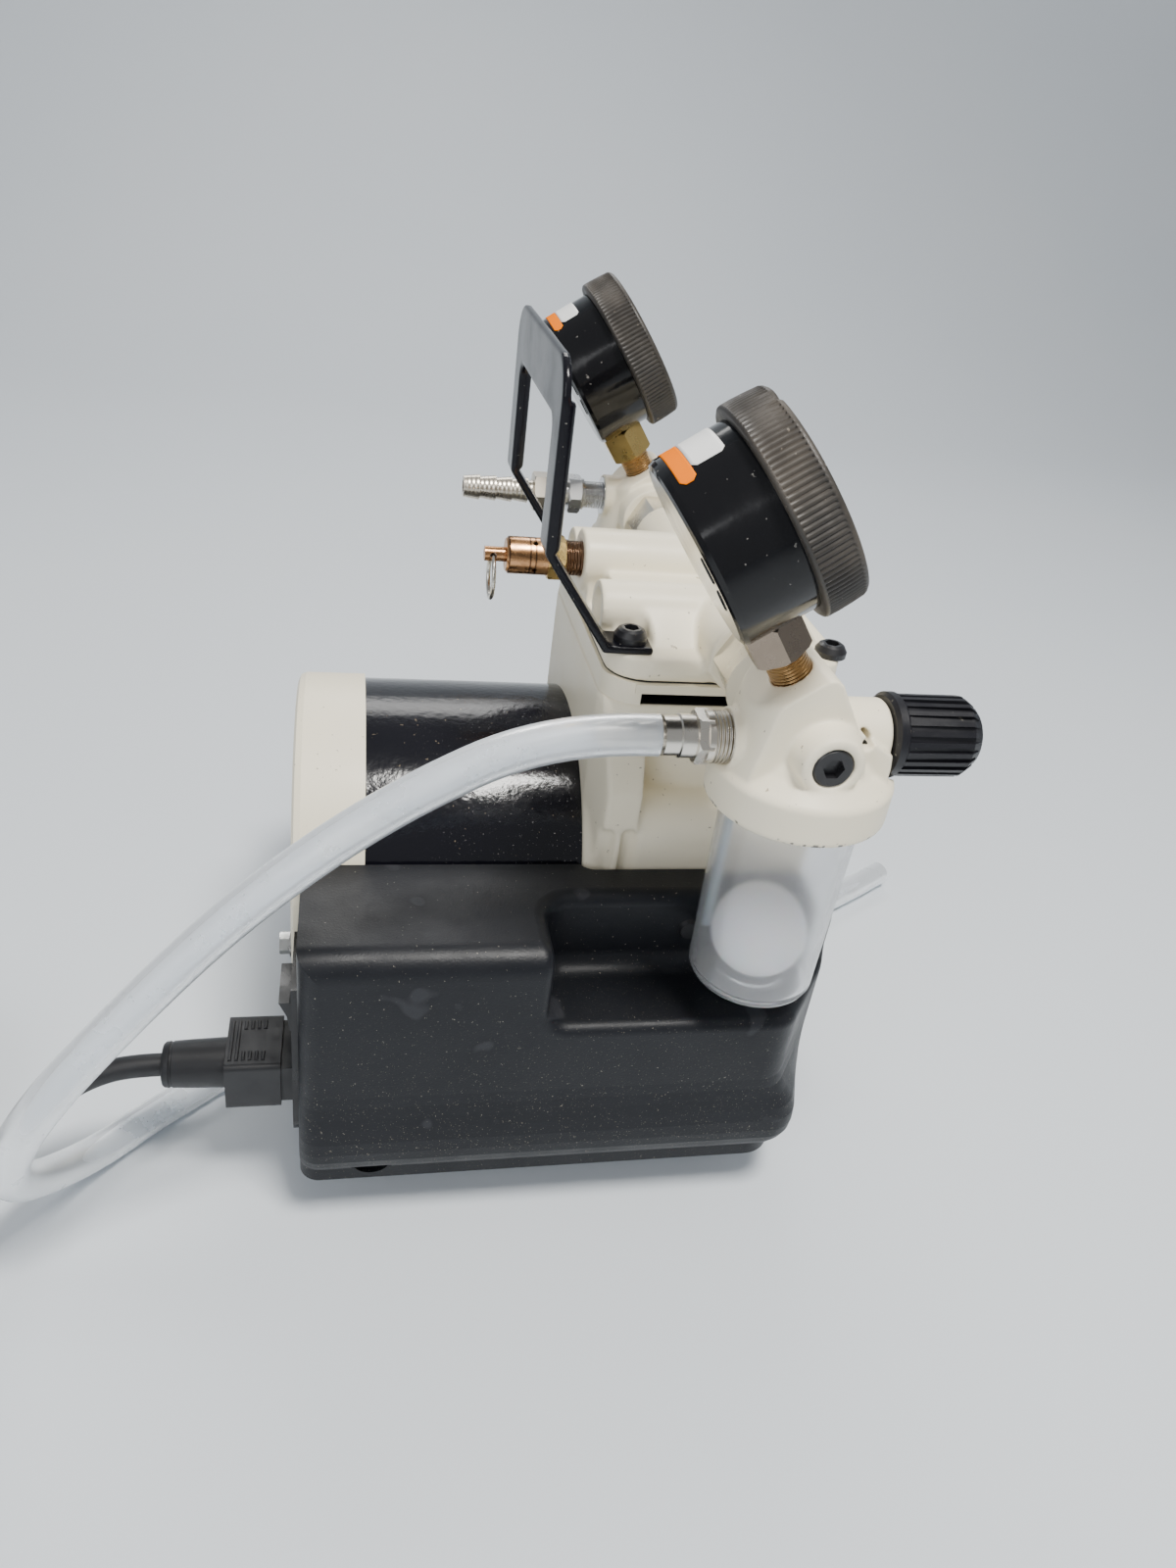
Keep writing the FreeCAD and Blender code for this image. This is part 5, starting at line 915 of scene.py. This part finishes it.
def number(side, text, angle, name, looks):
    """One printed number of a scale, upright as the reader sees it."""
    curve = bpy.data.curves.new(name + "_text", "FONT")
    curve.body = text
    curve.size = NUMBER_SIZE * MM
    curve.align_x = "CENTER"
    curve.align_y = "CENTER"
    curve.extrude = NUMBER_THICKNESS * MM
    guide = bpy.data.objects.new(name + "_text", curve)
    bpy.context.scene.collection.objects.link(guide)
    bpy.context.view_layer.update()
    mesh = bpy.data.meshes.new_from_object(guide)
    bpy.data.objects.remove(guide)
    turn = Matrix((LEFT, STEM_AXIS, DIAL_AXIS)).transposed().to_4x4()
    place = Matrix.Translation(dial_point(side, angle, NUMBER_RADIUS, NUMBER_LIFT) * MM)
    mesh.transform(place @ turn)
    mesh.materials.clear()
    mesh.materials.append(looks["print_black"])
    obj = bpy.data.objects.new(name, mesh)
    bpy.context.scene.collection.objects.link(obj)
    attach(obj, "pump")


# Cast, bent and moulded pieces


def soften(obj, voxel, rounds):
    """Rounds the sharp edges of a casting or a bent sheet, as foundry, bending and paint do."""
    weld = obj.modifiers.new("joined_points", "WELD")
    weld.merge_threshold = WELD_REACH * MM
    melt = obj.modifiers.new("even_mesh", "REMESH")
    melt.mode = "VOXEL"
    melt.voxel_size = voxel * MM
    melt.use_smooth_shade = True
    smooth = obj.modifiers.new("soft_edges", "SMOOTH")
    smooth.factor = SMOOTHING
    smooth.iterations = rounds


def drop_tube(looks):
    """Thin tube that stands in the trap jar beside the ball."""
    angle = math.radians(DROP_TUBE_ANGLE)
    x = JAR_X + DROP_TUBE_OUT * math.cos(angle)
    y = -SIDE_Y + DROP_TUBE_OUT * math.sin(angle)
    outer, inner, top = DROP_TUBE_RADIUS, DROP_TUBE_BORE_RADIUS, DROP_TUBE_LENGTH
    profile = [(0, outer), (top, outer), (top, inner), (0, inner), (0, outer)]
    tube = turned("drop_tube", profile, (x, y, DROP_TUBE_FOOT), (0, 0, 1), looks["ball_white"], 32)
    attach(tube, "jar")


def regulator_casting(side, name, new_name, looks):
    """The regulator again, with the boss of the plug standing out of the casting and flowing into it."""
    hole_floor = PLUG_FACE - PLUG_HOLE_DEPTH
    profile = [(0, BOSS_ROOT_RADIUS), (PLUG_FACE - 8.0, 11.5), (PLUG_FACE - 2.0, 9.9),
               (PLUG_FACE - 0.6, 9.5), (PLUG_FACE, 8.8), (PLUG_FACE, PLUG_HOLE_RADIUS),
               (hole_floor, PLUG_HOLE_RADIUS), (hole_floor, BOSS_CORE_RADIUS), (0, BOSS_CORE_RADIUS),
               (0, BOSS_ROOT_RADIUS)]
    start = (PLUG_X, side * SIDE_Y, PLUG_Z)
    boss = turned(new_name + "_boss", profile, start, LEFT * side, looks["cream_paint"], 64)
    mesh = bmesh.new()
    mesh.from_mesh(frame["nodes"][name].data)
    mesh.from_mesh(boss.data)
    bmesh.ops.remove_doubles(mesh, verts=mesh.verts, dist=WELD_REACH * MM)
    data = bpy.data.meshes.new(new_name)
    mesh.to_mesh(data)
    mesh.free()
    bpy.data.objects.remove(boss)
    data.materials.append(looks["cream_paint"])
    casting = bpy.data.objects.new(new_name, data)
    bpy.context.scene.collection.objects.link(casting)
    soften(casting, CASTING_VOXEL, CASTING_ROUNDS)
    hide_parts(name)
    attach(casting, "pump")


def vent_hole_shade(side, label, looks):
    """Near-black liner in the vent hole of a regulator's neck: painted shade in the hole."""
    away = Vector((0, side * math.cos(VENT_TURN), math.sin(VENT_TURN)))
    start = Vector((VENT_X, side * SIDE_Y, NECK_Z)) + away * (NECK_RADIUS - VENT_SUNK)
    profile = [(0, 1.9), (1.25, 1.9), (1.25, 1.5), (0.4, 1.4)]
    vent = turned("vent_" + label, profile, start, away, looks["print_black"], 32)
    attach(vent, "pump")


def socket_plug(side, label, looks):
    """Plug with a hexagon socket, a little below the face of its boss."""
    face = PLUG_FACE - PLUG_SUNK
    profile = [(face - 4.2, 6.1), (face - 0.5, 6.1), (face, 5.6), (face, 2.9), (face - 2.3, 2.9),
               (face - 2.3, 0.05)]
    socket = (3, 4)

    def hexed(angle, k, radius):
        if k in socket:
            return radius / math.cos((angle + math.pi / 6) % (math.pi / 3) - math.pi / 6)
        return radius

    start = (PLUG_X, side * SIDE_Y, PLUG_Z)
    plug = turned("socket_plug_" + label, profile, start, LEFT * side, looks["black_screw"], 60, hexed)
    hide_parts("port_plugs")
    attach(plug, "pump")


def regulators(looks):
    for side, label, name, new_name in REGULATORS:
        regulator_casting(side, name, new_name, looks)
        vent_hole_shade(side, label, looks)
        socket_plug(side, label, looks)


def rounded_bar(name, low, high, edge, material):
    """Small bar with chamfered edges between two corners."""
    (x0, y0, z0), (x1, y1, z1) = low, high
    verts = []
    for z, inset in ((z0, 0.0), (z1 - edge, 0.0), (z1, edge)):
        verts += [(x0 + inset, y0 + inset, z), (x1 - inset, y0 + inset, z),
                  (x1 - inset, y1 - inset, z), (x0 + inset, y1 - inset, z)]
    faces = [(0, 3, 2, 1), (8, 9, 10, 11)]
    for k in (0, 4):
        for i in range(4):
            j = (i + 1) % 4
            faces.append((k + i, k + j, k + 4 + j, k + 4 + i))
    return link_mesh(name, [Vector(v) * MM for v in verts], faces, material)


def line_socket(looks):
    """Grip ribs on the line socket and its thick moulded strain relief."""
    half = SOCKET_HALF_WIDTH
    spans = [(x, -half, half) for x in LONG_RIB_XS]
    for x in SHORT_RIB_XS:
        spans += [(x, -half, -SHORT_RIB_INNER), (x, SHORT_RIB_INNER, half)]
    pieces = []
    for n, (x, y0, y1) in enumerate(spans, 1):
        low = (x - RIB_HALF_WIDTH, SOCKET_Y + y0, SOCKET_TOP - RIB_SUNK)
        high = (x + RIB_HALF_WIDTH, SOCKET_Y + y1, SOCKET_TOP + RIB_RISE)
        pieces.append(rounded_bar("socket_rib_" + str(n), low, high, RIB_CHAMFER, looks["cord_black"]))
    r = STRAIN_RELIEF_RADIUS
    profile = [(-0.8, 5.0), (-0.8, r), (2.0, r), (12.0, r - 0.3), (18.0, r - 0.6), (18.3, r - 0.9),
               (18.8, r - 0.9), (19.1, r - 0.6), (20.6, r - 0.8), (21.3, r - 1.4), (21.5, r - 2.2),
               (21.5, 4.15), (-0.8, 4.15), (-0.8, 5.0)]
    start = Vector((SOCKET_REAR, SOCKET_Y, SOCKET_Z))
    pieces.append(turned("strain_relief", profile, start, (-1, 0, 0), looks["cord_black"], 48))
    pieces.append(turned("strain_relief_hole", [(0, 0.9), (0.3, 0.8)], start + RELIEF_HOLE, RELIEF_HOLE_AXIS,
                         looks["print_black"], 16))
    for obj in pieces:
        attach(obj, "pump")


# Hose and cord


def spline_curve(name, points, order=3):
    """Smooth curve that keeps to the first and last point and passes near the others."""
    curve = bpy.data.curves.new(name, "CURVE")
    curve.dimensions = "3D"
    spline = curve.splines.new("NURBS")
    spline.points.add(len(points) - 1)
    for target, p in zip(spline.points, points):
        target.co = (*p, 1)
    spline.order_u = order
    spline.use_endpoint_u = True
    spline.resolution_u = 10
    obj = bpy.data.objects.new(name, curve)
    bpy.context.scene.collection.objects.link(obj)
    return obj


def centre_line(name, points):
    """Points along the smooth line of a route."""
    guide = spline_curve(name, points)
    bpy.context.view_layer.update()
    mesh = bpy.data.meshes.new_from_object(guide)
    line = [v.co.copy() for v in mesh.vertices]
    bpy.data.meshes.remove(mesh)
    bpy.data.objects.remove(guide)
    return line


def hollow_tube(name, line, outer, inner, material, around=32):
    """Tube with a real bore and square cut ends along a line of points in metres."""
    tangents = []
    for i in range(len(line)):
        ahead = line[min(i + 1, len(line) - 1)]
        behind = line[max(i - 1, 0)]
        tangents.append((ahead - behind).normalized())
    normal = frame_of(tangents[0])[1]
    verts = []
    for p, t in zip(line, tangents):
        normal = (normal - t * normal.dot(t)).normalized()
        side = t.cross(normal)
        for radius in (outer, inner):
            for i in range(around):
                a = 2 * math.pi * i / around
                verts.append(p + (normal * math.cos(a) + side * math.sin(a)) * radius)
    faces = []
    step = 2 * around
    for k in range(len(line) - 1):
        for i in range(around):
            j = (i + 1) % around
            a, b = k * step, (k + 1) * step
            faces.append((a + i, b + i, b + j, a + j))
            faces.append((a + around + i, a + around + j, b + around + j, b + around + i))
    for k in (0, len(line) - 1):
        a = k * step
        for i in range(around):
            j = (i + 1) % around
            ring = (a + i, a + j, a + around + j, a + around + i)
            faces.append(ring if k == 0 else ring[::-1])
    return link_mesh(name, verts, faces, material)


def vacuum_hose(looks):
    """Clear hose from the right tail to its bare end on the bench."""
    line = centre_line("hose_guide", mm(HOSE_ROUTE))
    hose = hollow_tube("hose", line, HOSE_DIAMETER / 2 * MM, HOSE_BORE / 2 * MM, looks["hose_clear"])
    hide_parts("vacuum_hose")
    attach(hose, "pump")


def coil_turns():
    """Turns of the put-away cord: up through the layers, outer and inner turn by turn, out to the plug."""
    half = CORD_DIAMETER / 2
    outer, inner = COIL_RADIUS + half, COIL_RADIUS - half
    layers = [(outer, half), (inner, half), (inner, 3 * half), (outer, 3 * half), (outer, 5 * half),
              (inner, 5 * half)]
    points = []
    for turn, (radius, height) in enumerate(layers):
        next_radius, next_height = layers[min(turn + 1, len(layers) - 1)]
        for i in range(COIL_TURN_POINTS):
            share = i / COIL_TURN_POINTS
            blend = max(0.0, (share - (1 - COIL_CROSSING)) / COIL_CROSSING)
            r = radius + (next_radius - radius) * blend
            z = height + (next_height - height) * blend
            a = -math.pi / 2 - 2 * math.pi * share
            points.append(COIL_CENTRE + Vector((r * math.cos(a), r * math.sin(a), z)))
    return points


def power_cord(looks):
    """Power cord from the line socket through its coil to the mains plug."""
    points = [Vector(p) for p in CORD_ROUTE] + coil_turns()[1:]
    points.append(COIL_CENTRE + Vector((0, -COIL_RADIUS, COIL_LAST_HEIGHT)))
    plug_end = (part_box("mains_plug")[1] / MM).x
    points.append(Vector((plug_end + 12, PLUG_CORD_Y, PLUG_CORD_HEIGHT + 1.5)))
    points.append(Vector((plug_end - 2, PLUG_CORD_Y, PLUG_CORD_HEIGHT)))
    cord = spline_curve("power_lead", [p * MM for p in points])
    cord.data.bevel_depth = CORD_DIAMETER / 2 * MM
    cord.data.bevel_resolution = 8
    cord.data.use_fill_caps = True
    cord.data.materials.append(looks["cord_black"])
    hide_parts("power_cord", "power_cord_coil")
    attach(cord, "pump")


camera()
looks = make_materials()
vacuum_hose(looks)
power_cord(looks)
world()
lights()
floor()
dress_nodes(looks)
for casting, voxel, rounds in SOFTENED:
    soften(frame["nodes"][casting], voxel, rounds)
regulators(looks)
bezel_rings(looks)
stickers(looks)
back_vents(looks)
dial_marks(looks)
drop_tube(looks)
line_socket(looks)
